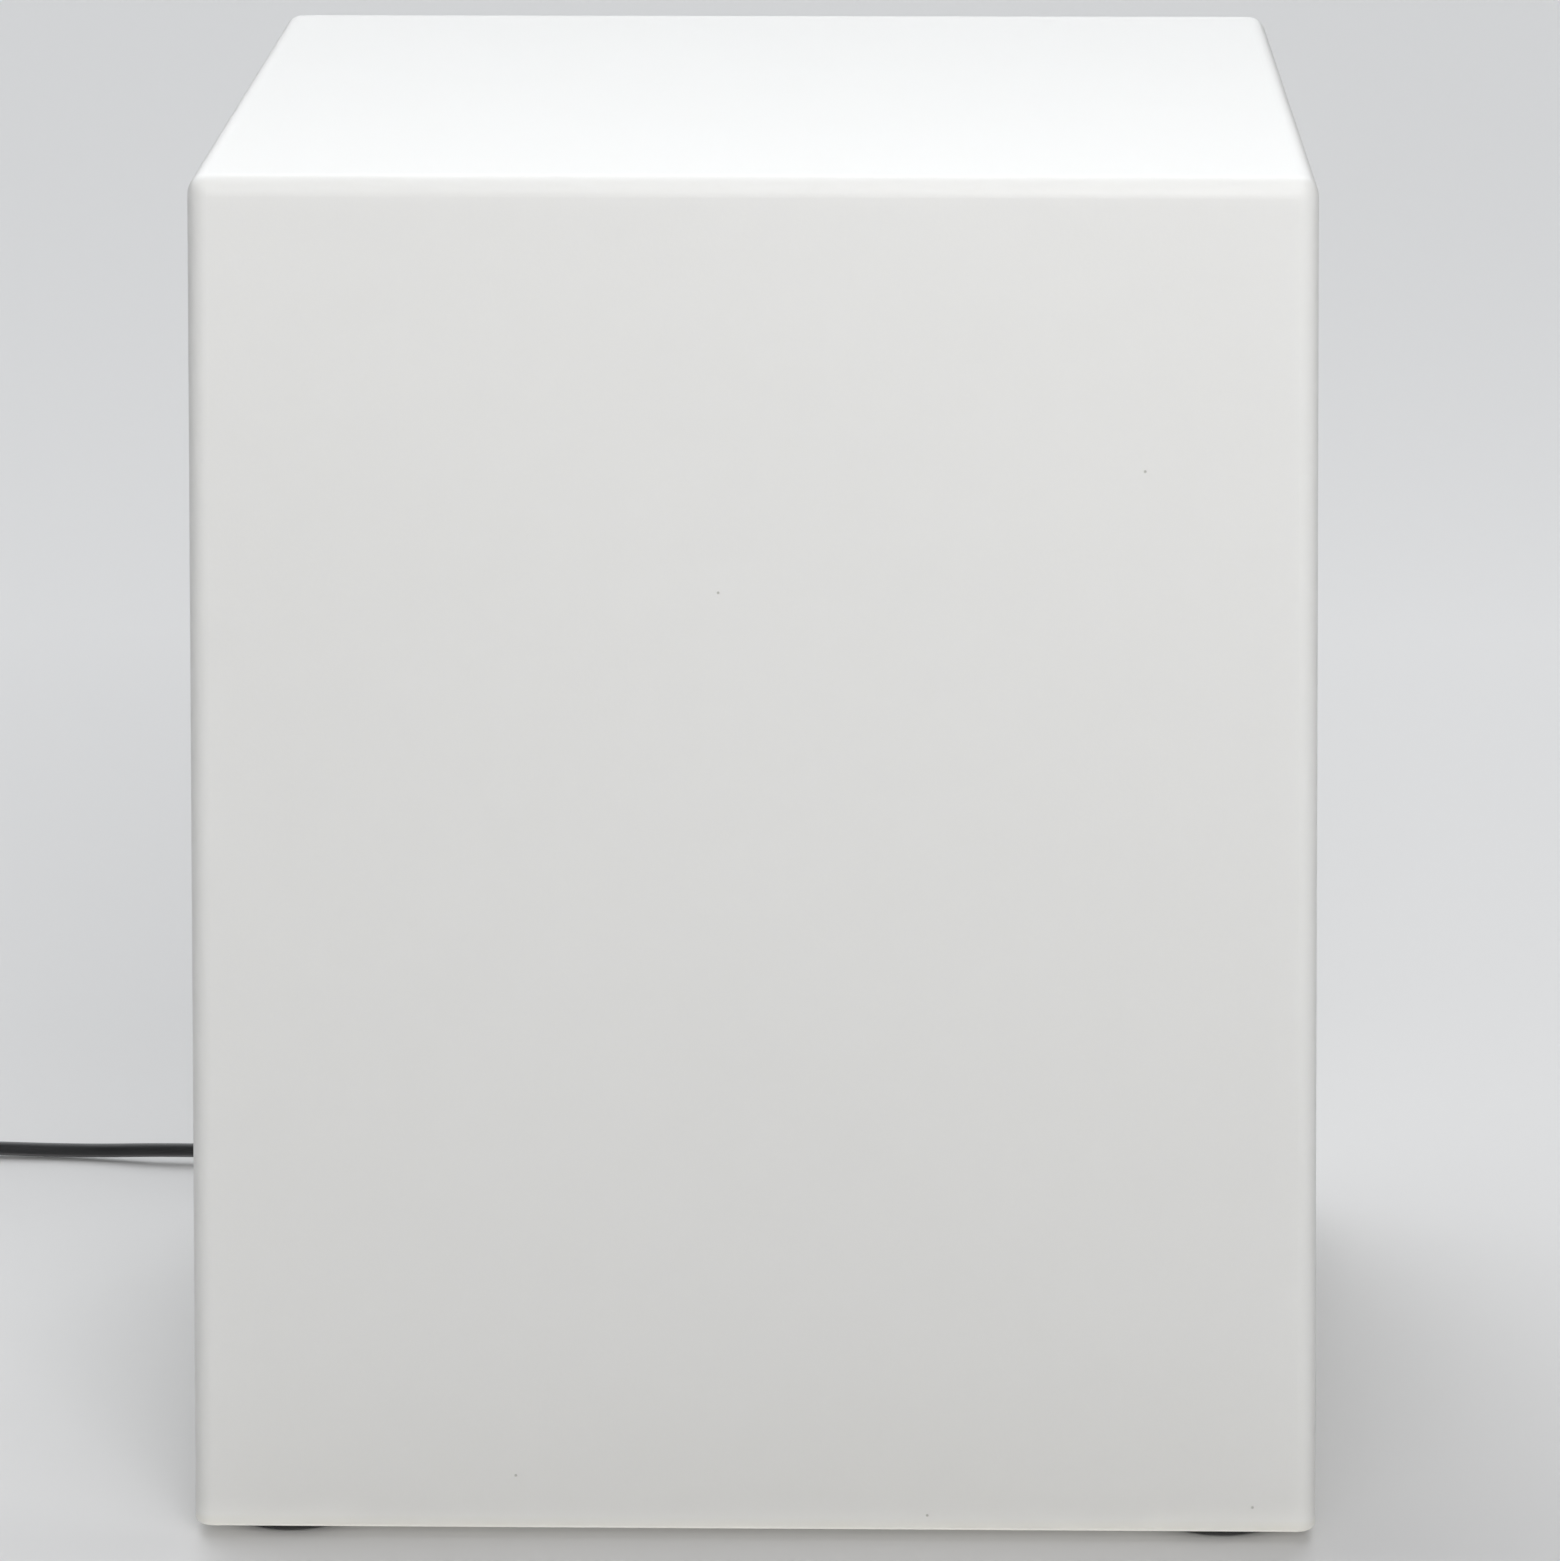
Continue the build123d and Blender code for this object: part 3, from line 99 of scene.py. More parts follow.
# %% Lay the floor
# Near the box the floor is painted darker and far behind it lighter, as a painted fall-off of
# light.
FLOOR_NEAR = (0.640, 0.636, 0.635, 1.0)
FLOOR_FAR = (0.872, 0.866, 0.862, 1.0)
FLOOR_ROUGHNESS = 0.7
FLOOR_SIZE, FLOOR_Z = 60.0, -0.0002


def deselect_all():
    bpy.ops.object.select_all(action="DESELECT")


def new_material(name):
    """A material with its shader, and the two collections that its nodes are added to."""
    material = bpy.data.materials.new(name)
    material.use_nodes = True
    shader = material.node_tree.nodes["Principled BSDF"]
    return material, shader, material.node_tree.nodes, material.node_tree.links


deselect_all()
bpy.ops.mesh.primitive_plane_add(size=FLOOR_SIZE, location=(0, 0, FLOOR_Z))
floor = bpy.context.object
floor.name = "floor"
floor_material, floor_shader, floor_nodes, floor_links = new_material("floor")
floor_shader.inputs["Roughness"].default_value = FLOOR_ROUGHNESS
floor.data.materials.append(floor_material)
print("floor:", tuple(round(side) for side in floor.dimensions), "m")

# %% Grade the floor, and clear its underside
GRADE_FROM, GRADE_TO = -0.2, 1.2  # along Y, in metres

# The floor is painted lighter with the distance behind the box: a painted fall-off of light.
where = floor_nodes.new("ShaderNodeTexCoord")
axes = floor_nodes.new("ShaderNodeSeparateXYZ")
span = floor_nodes.new("ShaderNodeMapRange")
tone = floor_nodes.new("ShaderNodeMix")
tone.data_type = "RGBA"
tone.inputs["A"].default_value = FLOOR_NEAR
tone.inputs["B"].default_value = FLOOR_FAR
span.inputs["From Min"].default_value = GRADE_FROM
span.inputs["From Max"].default_value = GRADE_TO
floor_links.new(where.outputs["Object"], axes.inputs[0])
floor_links.new(axes.outputs["Y"], span.inputs["Value"])
floor_links.new(span.outputs["Result"], tone.inputs["Factor"])
floor_links.new(tone.outputs["Result"], floor_shader.inputs["Base Color"])

# From below the floor is like clear glass, and it casts no shadow, so that the underside can be
# looked at in the light of a lamp that shines up.
side = floor_nodes.new("ShaderNodeNewGeometry")
ray = floor_nodes.new("ShaderNodeLightPath")
either = floor_nodes.new("ShaderNodeMath")
either.operation = "MAXIMUM"
clear = floor_nodes.new("ShaderNodeBsdfTransparent")
mix = floor_nodes.new("ShaderNodeMixShader")
floor_links.new(side.outputs["Backfacing"], either.inputs[0])
floor_links.new(ray.outputs["Is Shadow Ray"], either.inputs[1])
floor_links.new(either.outputs[0], mix.inputs[0])
floor_links.new(floor_shader.outputs[0], mix.inputs[1])
floor_links.new(clear.outputs[0], mix.inputs[2])
floor_links.new(mix.outputs[0], floor_nodes["Material Output"].inputs["Surface"])
print("floor:", len(floor_nodes), "shader nodes")

# %% Hang the soft suns
# Azimuth counted from +X, elevation, strength, and how wide the light is, with angles in degrees.
# A sun gives the same light everywhere, so the floor stays even up to the top of the picture.
SUNS = {
    "back_high": (90, 60, 0.95, 60),
    "back_low": (90, 30, 1.05, 60),
    "left_back": (135, 45, 0.67, 60),
    "left_high": (180, 70, 0.20, 35),
}
SUN_COLOUR = (0.96, 0.98, 1.0)
BELOW_STRENGTH, BELOW_WIDTH = 0.75, 20


def hang(name, kind, direction, place=(0, 0, 3)):
    """A lamp of a kind that shines along a direction. Where a sun hangs makes no difference."""
    lamp = bpy.data.lights.new(name, kind)
    lamp_object = bpy.data.objects.new(name, lamp)
    lamp_object.location = place
    lamp_object.rotation_euler = direction.to_track_quat("-Z", "Y").to_euler()
    bpy.context.scene.collection.objects.link(lamp_object)
    return lamp


for name, (azimuth, elevation, strength, width) in SUNS.items():
    across, up = math.radians(azimuth), math.radians(elevation)
    arm = Vector((math.cos(across) * math.cos(up), math.sin(across) * math.cos(up), math.sin(up)))
    sun = hang(name, "SUN", -arm)
    sun.energy = strength
    sun.color = SUN_COLOUR
    sun.angle = math.radians(width)
below = hang("below", "SUN", Vector((0, 0, 1)))
below.energy = BELOW_STRENGTH
below.angle = math.radians(BELOW_WIDTH)
print(len(SUNS), "suns above and one below")

# %% Hang the panels in front
# Place, size in metres and watts. They light the front face, which fades towards the floor.
PANELS = {
    "front": ((0.6, -3.4, 1.6), 1.6, 56.4),
    "front_near": ((0.2, -0.9, 1.5), 1.0, 7.4),
}
AIM = Vector((0.0, 0.0, 0.25))

for name, (place, size, watts) in PANELS.items():
    panel = hang(name, "AREA", AIM - Vector(place), place)
    panel.size = size
    panel.energy = watts
print(len(PANELS), "panels")

# %% Set the world and the tone curve
SKY_STRENGTH = 0.01

world = bpy.data.worlds.new("studio")
bpy.context.scene.world = world
world.use_nodes = True
sky = world.node_tree.nodes["Background"]
sky.inputs["Color"].default_value = (1.0, 1.0, 1.0, 1.0)
sky.inputs["Strength"].default_value = SKY_STRENGTH
bpy.context.scene.view_settings.view_transform = "Standard"
print("tone curve:", bpy.context.scene.view_settings.view_transform)

# %% [markdown]
# ## Shared surface effects
#
# No real surface is one flat colour. Three effects come back in almost every finish: a fine grain
# from the mould, slow drifts of tone, and a film of dust in the low places. The dust's group also
# paints bounce light and shade along the shell's bottom edge. Each is built once as a node group
# with named inputs, and every material places it with values of its own.

# %% Helpers for node groups
def new_group(name, inputs, outputs):
    """A shader node group. An input is (name, default); a default of three numbers is a vector."""
    tree = bpy.data.node_groups.new(name, "ShaderNodeTree")
    for socket, value in inputs:
        kind = "NodeSocketVector" if isinstance(value, tuple) else "NodeSocketFloat"
        made = tree.interface.new_socket(socket, in_out="INPUT", socket_type=kind)
        made.default_value = value
    for socket in outputs:
        tree.interface.new_socket(socket, in_out="OUTPUT", socket_type="NodeSocketFloat")
    return tree, tree.nodes.new("NodeGroupInput"), tree.nodes.new("NodeGroupOutput")


def math_node(tree, operation, first, second):
    """A Math node. First and second are sockets or plain numbers."""
    node = tree.nodes.new("ShaderNodeMath")
    node.operation = operation
    for socket, value in zip(node.inputs, (first, second)):
        if isinstance(value, (int, float)):
            socket.default_value = value
        else:
            tree.links.new(value, socket)
    return node.outputs[0]


def noise_node(tree, vector, scale, detail, roughness):
    """The value of a Noise node along a vector. Scale is a socket or a plain number."""
    node = tree.nodes.new("ShaderNodeTexNoise")
    node.inputs["Detail"].default_value = detail
    node.inputs["Roughness"].default_value = roughness
    tree.links.new(vector, node.inputs["Vector"])
    if isinstance(scale, (int, float)):
        node.inputs["Scale"].default_value = scale
    else:
        tree.links.new(scale, node.inputs["Scale"])
    return node.outputs[0]


print("node groups so far:", len(bpy.data.node_groups))


# %% Grain and drift
def build_grain():
    """Height is a fine pebbled grain; Drift wanders slowly between 0 and 1."""
    tree, given, result = new_group(
        "grain_and_drift",
        [("Vector", (0.0, 0.0, 0.0)), ("Grain Scale", 900.0), ("Drift Scale", 9.0)],
        ["Height", "Drift"],
    )
    vector = given.outputs["Vector"]
    fine = noise_node(tree, vector, given.outputs["Grain Scale"], 2.0, 0.55)
    wide = noise_node(tree, vector, given.outputs["Drift Scale"], 4.0, 0.6)
    tree.links.new(fine, result.inputs["Height"])
    tree.links.new(wide, result.inputs["Drift"])
    return tree


GRAIN = build_grain()
print(GRAIN.name, len(GRAIN.nodes), "nodes")


# %% Dust near the floor, and painted bounce light and shade along the bottom edge
def build_low_dust_and_bounce():
    """Mask is 1 at the floor and fades to 0 at Reach metres, broken up by noise."""
    tree, given, result = new_group(
        "low_dust_and_bounce",
        [("Vector", (0.0, 0.0, 0.0)), ("Reach", 0.02), ("Breakup", 60.0)],
        ["Mask"],
    )
    split = tree.nodes.new("ShaderNodeSeparateXYZ")
    tree.links.new(given.outputs["Vector"], split.inputs[0])
    share = math_node(tree, "DIVIDE", split.outputs["Z"], given.outputs["Reach"])
    near = math_node(tree, "SUBTRACT", 1.0, share)
    noise = noise_node(tree, given.outputs["Vector"], given.outputs["Breakup"], 5.0, 0.6)
    broken = math_node(tree, "MULTIPLY", near, math_node(tree, "ADD", noise, 0.3))
    clipped = tree.nodes.new("ShaderNodeClamp")
    tree.links.new(broken, clipped.inputs[0])
    tree.links.new(clipped.outputs[0], result.inputs["Mask"])
    return tree


LOW_DUST_AND_BOUNCE = build_low_dust_and_bounce()
print(LOW_DUST_AND_BOUNCE.name, len(LOW_DUST_AND_BOUNCE.nodes), "nodes")

# %% [markdown]
# ## Finishes
#
# The record names a material slot for every part. One function builds a plain moulded or metal
# finish from a few values: two tones between which the drift wanders, a roughness, and the depth
# of its grain. What is special about a material is added on top of that in its own cell.

# %% The general finish
ROUGHNESS_SPREAD = 0.1  # how far the roughness drifts either way
MM = 0.001


def place_group(nodes, tree, **values):
    """A node that stands for a group, with values for its inputs."""
    node = nodes.new("ShaderNodeGroup")
    node.node_tree = tree
    for name, value in values.items():
        node.inputs[name.replace("_", " ")].default_value = value
    return node


def finish(name, tone, other, roughness, grain, depth, drift, metallic=0.0):
    """A material that drifts between two tones, with a pebbled bump whose depth is in mm."""
    material, shader, nodes, links = new_material(name)
    place = nodes.new("ShaderNodeTexCoord")
    effect = place_group(nodes, GRAIN, Grain_Scale=grain, Drift_Scale=drift)
    links.new(place.outputs["Object"], effect.inputs["Vector"])
    mix = nodes.new("ShaderNodeMix")
    mix.data_type = "RGBA"
    mix.inputs["A"].default_value = (*tone, 1.0)
    mix.inputs["B"].default_value = (*other, 1.0)
    links.new(effect.outputs["Drift"], mix.inputs["Factor"])
    links.new(mix.outputs["Result"], shader.inputs["Base Color"])
    rough = nodes.new("ShaderNodeMapRange")
    rough.inputs["To Min"].default_value = roughness - ROUGHNESS_SPREAD
    rough.inputs["To Max"].default_value = roughness + ROUGHNESS_SPREAD
    links.new(effect.outputs["Drift"], rough.inputs["Value"])
    links.new(rough.outputs["Result"], shader.inputs["Roughness"])
    bump = nodes.new("ShaderNodeBump")
    bump.inputs["Strength"].default_value = 1.0
    bump.inputs["Distance"].default_value = depth * MM
    links.new(effect.outputs["Height"], bump.inputs["Height"])
    links.new(bump.outputs["Normal"], shader.inputs["Normal"])
    shader.inputs["Metallic"].default_value = metallic
    return material


print("roughness drifts by", ROUGHNESS_SPREAD, "either way")

# %% [markdown]
# ## The white of the shell
#
# Rotationally moulded polyethylene lets a little light in, so its edges glow and its shadows are
# soft. That is what subsurface scattering does. The wall is never quite flat, so a wide, very
# shallow wave is added to the grain. The photograph also shows five pinholes from the mould, whose
# dark is painted shade, and a faint yellowish line along the bottom edge, which is painted bounce
# light and shade from the floor.

# %% A pinhole
def build_pinhole():
    """Mask is 1 within Radius metres of Place, and fades out just beyond it."""
    tree, given, result = new_group(
        "pinhole",
        [("Vector", (0.0, 0.0, 0.0)), ("Place", (0.0, 0.0, 0.0)), ("Radius", 0.0004)],
        ["Mask"],
    )
    distance = tree.nodes.new("ShaderNodeVectorMath")
    distance.operation = "DISTANCE"
    tree.links.new(given.outputs["Vector"], distance.inputs[0])
    tree.links.new(given.outputs["Place"], distance.inputs[1])
    share = math_node(tree, "DIVIDE", distance.outputs["Value"], given.outputs["Radius"])
    inside = tree.nodes.new("ShaderNodeClamp")
    tree.links.new(math_node(tree, "SUBTRACT", 2.0, share), inside.inputs[0])
    tree.links.new(inside.outputs[0], result.inputs["Mask"])
    return tree


PINHOLE = build_pinhole()
PINHOLES = [  # on the front face, in metres, as the photograph shows them
    (0.1346, -0.1942, 0.3891),
    (-0.0119, -0.1948, 0.3461),
    (-0.0848, -0.1997, 0.0247),
    (0.0616, -0.1999, 0.0106),
    (0.1772, -0.1999, 0.0143),
]
print(len(PINHOLES), "pinholes")

# %% The shell's tones
SHELL_TONES = (0.888, 0.884, 0.855, 1.0), (0.868, 0.864, 0.832, 1.0)
# The pinholes' dark is painted shade in the pits.
PINHOLE_SHADE = (0.56, 0.55, 0.51, 1.0)
# A yellowish tone for the film of dust, and for the painted bounce light and shade on the bottom
# edge.
DUST_AND_BOUNCE_TONE = (0.74, 0.70, 0.56, 1.0)
BOUNCE_TOP, DUST_TOP = 0.0095, 0.08  # how high the painted bounce light and shade and the film of dust reach
BOUNCE_BREAKUP, DUST_BREAKUP = 45.0, 14.0  # scales of the noise that breaks them up
BOUNCE_SHARE, DUST_SHARE = 0.9, 0.10  # how strongly each colours the white
EDGE_FADE = 0.0005  # over this height the painted bounce light and shade set in above the underside


def colour_mix(nodes, links, mask, first, second):
    """Blends two colours by a mask. Each colour is a socket or four numbers."""
    mix = nodes.new("ShaderNodeMix")
    mix.data_type = "RGBA"
    links.new(mask, mix.inputs["Factor"])
    for socket, value in ((mix.inputs["A"], first), (mix.inputs["B"], second)):
        if isinstance(value, tuple):
            socket.default_value = value
        else:
            links.new(value, socket)
    return mix.outputs["Result"]


def shell_colour(tree, place, drift, pits):
    """Two whites, a film of dust, painted bounce light and shade along the bottom edge,
    and painted shade in the pinholes.
    """
    nodes, links = tree.nodes, tree.links
    bounce_band = place_group(nodes, LOW_DUST_AND_BOUNCE, Reach=BOUNCE_TOP, Breakup=BOUNCE_BREAKUP)
    dust = place_group(nodes, LOW_DUST_AND_BOUNCE, Reach=DUST_TOP, Breakup=DUST_BREAKUP)
    for group in (bounce_band, dust):
        links.new(place, group.inputs["Vector"])
    heights = nodes.new("ShaderNodeSeparateXYZ")
    links.new(place, heights.inputs[0])
    above = math_node(tree, "SUBTRACT", heights.outputs["Z"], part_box("shell")[0][2])
    above = math_node(tree, "MULTIPLY", above, 1 / EDGE_FADE)
    # Along the bottom edge, a band of painted bounce light and shade from the floor, kept off the
    # underside.
    edge = math_node(tree, "MINIMUM", bounce_band.outputs["Mask"], above)
    film = math_node(tree, "MULTIPLY", dust.outputs["Mask"], DUST_SHARE)
    painted_bounce = math_node(tree, "MULTIPLY", edge, BOUNCE_SHARE)
    colour = colour_mix(nodes, links, drift, *SHELL_TONES)
    # The film is dust, the band along the bottom edge is painted bounce light and shade, and the
    # pinholes get painted shade.
    for mask, tone in ((film, DUST_AND_BOUNCE_TONE), (painted_bounce, DUST_AND_BOUNCE_TONE), (pits, PINHOLE_SHADE)):
        colour = colour_mix(nodes, links, mask, colour, tone)
    return colour


# The splashes here are painted bounce light and shade along the bottom edge.
print("splashes up to", BOUNCE_TOP, "m, dust up to", DUST_TOP, "m")

# %% The shell's finish
PINHOLE_R = 0.00032
SHELL_GRAIN, SHELL_DRIFT, SHELL_WAVE = 700.0, 5.0, 7.0  # scales of the three noises
SHELL_BUMP = 0.0002  # metres; the wave and the grain are given as multiples of it
WAVE_HEIGHT, GRAIN_HEIGHT = 10.0, 0.12
SHELL_GLOW = {
    "Roughness": 0.42,
    "Subsurface Weight": 0.5,
    "Subsurface Radius": (1.0, 1.0, 0.95),
    "Subsurface Scale": 0.012,
}


def shell_finish():
    """The white with its pinholes in painted shade, a wave and a grain, and the glow of the
    plastic.
    """
    material, shader, nodes, links = new_material("shell_white")
    tree = material.node_tree
    place = nodes.new("ShaderNodeTexCoord").outputs["Object"]
    grain = place_group(nodes, GRAIN, Grain_Scale=SHELL_GRAIN, Drift_Scale=SHELL_DRIFT)
    links.new(place, grain.inputs["Vector"])
    pits = None
    for spot in PINHOLES:
        pinhole = place_group(nodes, PINHOLE, Place=spot, Radius=PINHOLE_R)
        links.new(place, pinhole.inputs["Vector"])
        mask = pinhole.outputs["Mask"]
        pits = mask if pits is None else math_node(tree, "MAXIMUM", pits, mask)
    colour = shell_colour(tree, place, grain.outputs["Drift"], pits)
    links.new(colour, shader.inputs["Base Color"])

    wave = noise_node(tree, place, SHELL_WAVE, 1.0, 0.4)
    wave = math_node(tree, "MULTIPLY", wave, WAVE_HEIGHT)
    pebbles = math_node(tree, "MULTIPLY", grain.outputs["Height"], GRAIN_HEIGHT)
    surface = math_node(tree, "ADD", math_node(tree, "SUBTRACT", wave, pits), pebbles)
    bump = nodes.new("ShaderNodeBump")
    bump.inputs["Strength"].default_value = 1.0
    bump.inputs["Distance"].default_value = SHELL_BUMP
    links.new(surface, bump.inputs["Height"])
    links.new(bump.outputs["Normal"], shader.inputs["Normal"])
    for socket, value in SHELL_GLOW.items():
        shader.inputs[socket].default_value = value
    return material


SHELL_WHITE = shell_finish()
print("shell:", len(SHELL_WHITE.node_tree.nodes), "shader nodes")

# %% [markdown]
# ## A finish for every slot
#
# Rubber is dark and dull, moulded plastic is smooth with a fine grain, and metal is bright with
# stains that wander over it. Each could be built on its own, but they differ only in their values.
# In one table these are easy to compare and to change.

# %% All the finishes
# two tones, roughness, grain scale, grain depth in mm, drift scale, and 1.0 at the end for a metal
FINISH_VALUES = {
    "foot_rubber": ((0.025, 0.025, 0.026), (0.045, 0.044, 0.042), 0.75, 500.0, 0.06, 40.0),
    "zinc_steel": ((0.60, 0.61, 0.63), (0.50, 0.51, 0.53), 0.3, 1500.0, 0.01, 200.0, 1.0),
    "brass_parts": ((0.75, 0.56, 0.26), (0.62, 0.45, 0.20), 0.32, 1500.0, 0.01, 150.0, 1.0),
    "nickel_brass": ((0.70, 0.68, 0.63), (0.58, 0.56, 0.51), 0.2, 1500.0, 0.006, 120.0, 1.0),
    "collar_plastic": ((0.78, 0.78, 0.76), (0.73, 0.73, 0.70), 0.5, 900.0, 0.03, 30.0),
    "plate_plastic": ((0.78, 0.78, 0.76), (0.72, 0.72, 0.69), 0.48, 900.0, 0.03, 30.0),
    "seal_rubber": ((0.02, 0.02, 0.02), (0.035, 0.035, 0.035), 0.6, 600.0, 0.02, 50.0),
    "gland_plastic": ((0.025, 0.025, 0.027), (0.04, 0.04, 0.042), 0.5, 900.0, 0.03, 80.0),
    "bracket_steel": ((0.55, 0.57, 0.59), (0.42, 0.44, 0.47), 0.38, 1200.0, 0.01, 70.0, 1.0),
    "holder_plastic": ((0.02, 0.02, 0.02), (0.03, 0.03, 0.03), 0.35, 900.0, 0.02, 60.0),
    "puck_plastic": ((0.68, 0.63, 0.52), (0.60, 0.55, 0.44), 0.5, 900.0, 0.02, 60.0),
    "flex_rubber": ((0.016, 0.016, 0.018), (0.030, 0.030, 0.032), 0.5, 700.0, 0.03, 60.0),
    "tie_plastic": ((0.03, 0.03, 0.03), (0.045, 0.045, 0.045), 0.55, 900.0, 0.03, 80.0),
    "plug_rubber": ((0.02, 0.02, 0.022), (0.032, 0.032, 0.034), 0.5, 900.0, 0.04, 50.0),
    "core_brown": ((0.14, 0.06, 0.03), (0.10, 0.045, 0.02), 0.4, 900.0, 0.01, 80.0),
    "core_blue": ((0.03, 0.11, 0.42), (0.02, 0.08, 0.33), 0.4, 900.0, 0.01, 80.0),
    "insulator_black": ((0.01, 0.01, 0.01), (0.02, 0.02, 0.02), 0.15, 900.0, 0.005, 80.0),
    "bulb_plastic": ((0.82, 0.82, 0.81), (0.78, 0.78, 0.76), 0.35, 900.0, 0.01, 30.0),
    "globe_opal": ((0.86, 0.86, 0.85), (0.82, 0.82, 0.80), 0.4, 900.0, 0.005, 20.0),
    "board_white": ((0.80, 0.81, 0.80), (0.74, 0.75, 0.74), 0.35, 900.0, 0.01, 60.0),
    "chip_yellow": ((0.85, 0.62, 0.12), (0.78, 0.55, 0.10), 0.3, 900.0, 0.005, 300.0),
    "driver_board": ((0.04, 0.16, 0.07), (0.03, 0.12, 0.05), 0.4, 900.0, 0.01, 100.0),
}
FINISHES = {"shell_white": SHELL_WHITE}
for slot, values in FINISH_VALUES.items():
    FINISHES[slot] = finish(slot, *values)
print(len(FINISHES), "finishes")

# %% Put them on the parts
GLOBE_GLOW = {
    "Subsurface Weight": 0.4,
    "Subsurface Radius": (1.0, 0.98, 0.94),
    "Subsurface Scale": 0.002,
}

# The opal globe lets light in, as the shell does.
globe = FINISHES["globe_opal"].node_tree.nodes["Principled BSDF"]
for socket, value in GLOBE_GLOW.items():
    globe.inputs[socket].default_value = value

for node, part in NODES.items():
    part.data.materials.clear()
    part.data.materials.append(FINISHES[SLOT_OF[node]])
print(len(NODES), "parts have their finish")

# %% [markdown]
# ## The lamp's screw thread
#
# A bulb's cap and the shell in its holder are thin sheet, rolled into a rounded thread that rises
# 3.6 mm a turn. A thread is one small wave that is carried round the axis while it rises, which is
# what the Screw modifier does. Both pieces take their wave from the same height, so that the bulb
# can be screwed out without its thread passing through the holder's.

# %% Tools for turned pieces
def start_line(name):
    """A new mesh in edit mode that is a single vertex at the origin."""
    deselect_all()
    bpy.ops.mesh.primitive_plane_add(size=0.01)
    piece = bpy.context.object
    piece.name = name
    bpy.ops.object.mode_set(mode="EDIT")
    bpy.ops.mesh.merge(type="CENTER")
    return piece


def draw_line(points):
    """Moves the vertex to the first place and extrudes it through the others."""
    bpy.ops.transform.translate(value=points[0])
    for before, after in zip(points, points[1:]):
        step = Vector(after) - Vector(before)
        bpy.ops.mesh.extrude_region_move(TRANSFORM_OT_translate={"value": step})


def select_where(piece, test):
    """Selects the vertices whose place passes a test, and stays in edit mode."""
    bpy.ops.object.mode_set(mode="EDIT")
    bpy.ops.mesh.select_mode(type="VERT")
    bpy.ops.mesh.select_all(action="DESELECT")
    bpy.ops.object.mode_set(mode="OBJECT")
    for vertex in piece.data.vertices:
        vertex.select = test(vertex.co)
    bpy.ops.object.mode_set(mode="EDIT")


def use_modifier(piece, kind, **settings):
    """Adds a modifier with its settings and applies it."""
    bpy.ops.object.mode_set(mode="OBJECT")
    modifier = piece.modifiers.new(kind.lower(), kind)
    for name, value in settings.items():
        setattr(modifier, name, value)
    bpy.context.view_layer.objects.active = piece
    bpy.ops.object.modifier_apply(modifier=modifier.name)


SMOOTH_BELOW = math.radians(35)  # sharper edges than this stay crisp
BEVEL_ABOVE = math.radians(40)  # and edges sharper than this are rounded where a piece asks for it


def complete(piece, slot, body, *nodes):
    """Smooths a piece, gives it its finish and lets it stand for its CAD nodes."""
    if bpy.context.object and bpy.context.object.mode != "OBJECT":
        bpy.ops.object.mode_set(mode="OBJECT")
    deselect_all()
    piece.select_set(True)
    bpy.context.view_layer.objects.active = piece
    bpy.ops.object.shade_smooth_by_angle(angle=SMOOTH_BELOW)
    piece.data.materials.clear()
    piece.data.materials.append(FINISHES[slot])
    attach(piece, body)
    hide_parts(*nodes)
    print(piece.name, len(piece.data.polygons), "faces")


print("edges below", round(math.degrees(SMOOTH_BELOW)), "degrees are smoothed")

# %% Carry a line round
STEPS_A_TURN = 64
TINY = 1e-6  # places closer than this count as one


def carry_round(piece, turns=1, rise=0.0):
    """Carries a drawn line round the Z axis, and up by rise in every turn."""
    use_modifier(
        piece, "SCREW", axis="Z", angle=2 * math.pi, screw_offset=rise, iterations=turns,
        steps=STEPS_A_TURN, render_steps=STEPS_A_TURN,
        use_merge_vertices=True, merge_threshold=TINY,
    )


print(STEPS_A_TURN, "steps in a turn")

# %% One turn of the thread, and a threaded tube
THREAD_PITCH = 0.003629
THREAD_DEPTH = 0.0005
THREAD_START = 0.1348  # a height at which both threads have a crest over +X
WAVE_STEPS = 8
CUT_MERGE = 2e-5  # after the cuts, points closer than this become one


def threaded_tube(name, radius, low, high):
    """A sheet tube with a rounded thread whose crests are at radius, cut flat at both ends."""
    turns_below = math.ceil((THREAD_START - low) / THREAD_PITCH) + 1
    turns = math.ceil((high - low) / THREAD_PITCH) + 3
    start = THREAD_START - turns_below * THREAD_PITCH
    wave = []
    for k in range(WAVE_STEPS + 1):
        dip = THREAD_DEPTH * (1 - math.cos(2 * math.pi * k / WAVE_STEPS)) / 2
        wave.append((radius - dip, 0, start + THREAD_PITCH * k / WAVE_STEPS))
    piece = start_line(name)
    draw_line(wave)
    carry_round(piece, turns, THREAD_PITCH)
    bpy.ops.object.mode_set(mode="EDIT")
    for height, below in ((low, True), (high, False)):
        bpy.ops.mesh.select_all(action="SELECT")
        bpy.ops.mesh.bisect(
            plane_co=(0, 0, height), plane_no=(0, 0, 1), clear_inner=below, clear_outer=not below
        )
    bpy.ops.mesh.select_all(action="SELECT")
    bpy.ops.mesh.remove_doubles(threshold=CUT_MERGE)
    bpy.ops.mesh.normals_make_consistent(inside=False)
    return piece


# %% The holder's threaded shell
SHEET = 0.0005
HOLDER_R = 0.0133
END_SLACK = 0.00025  # the wall leans at the ends, which makes the tube a little longer

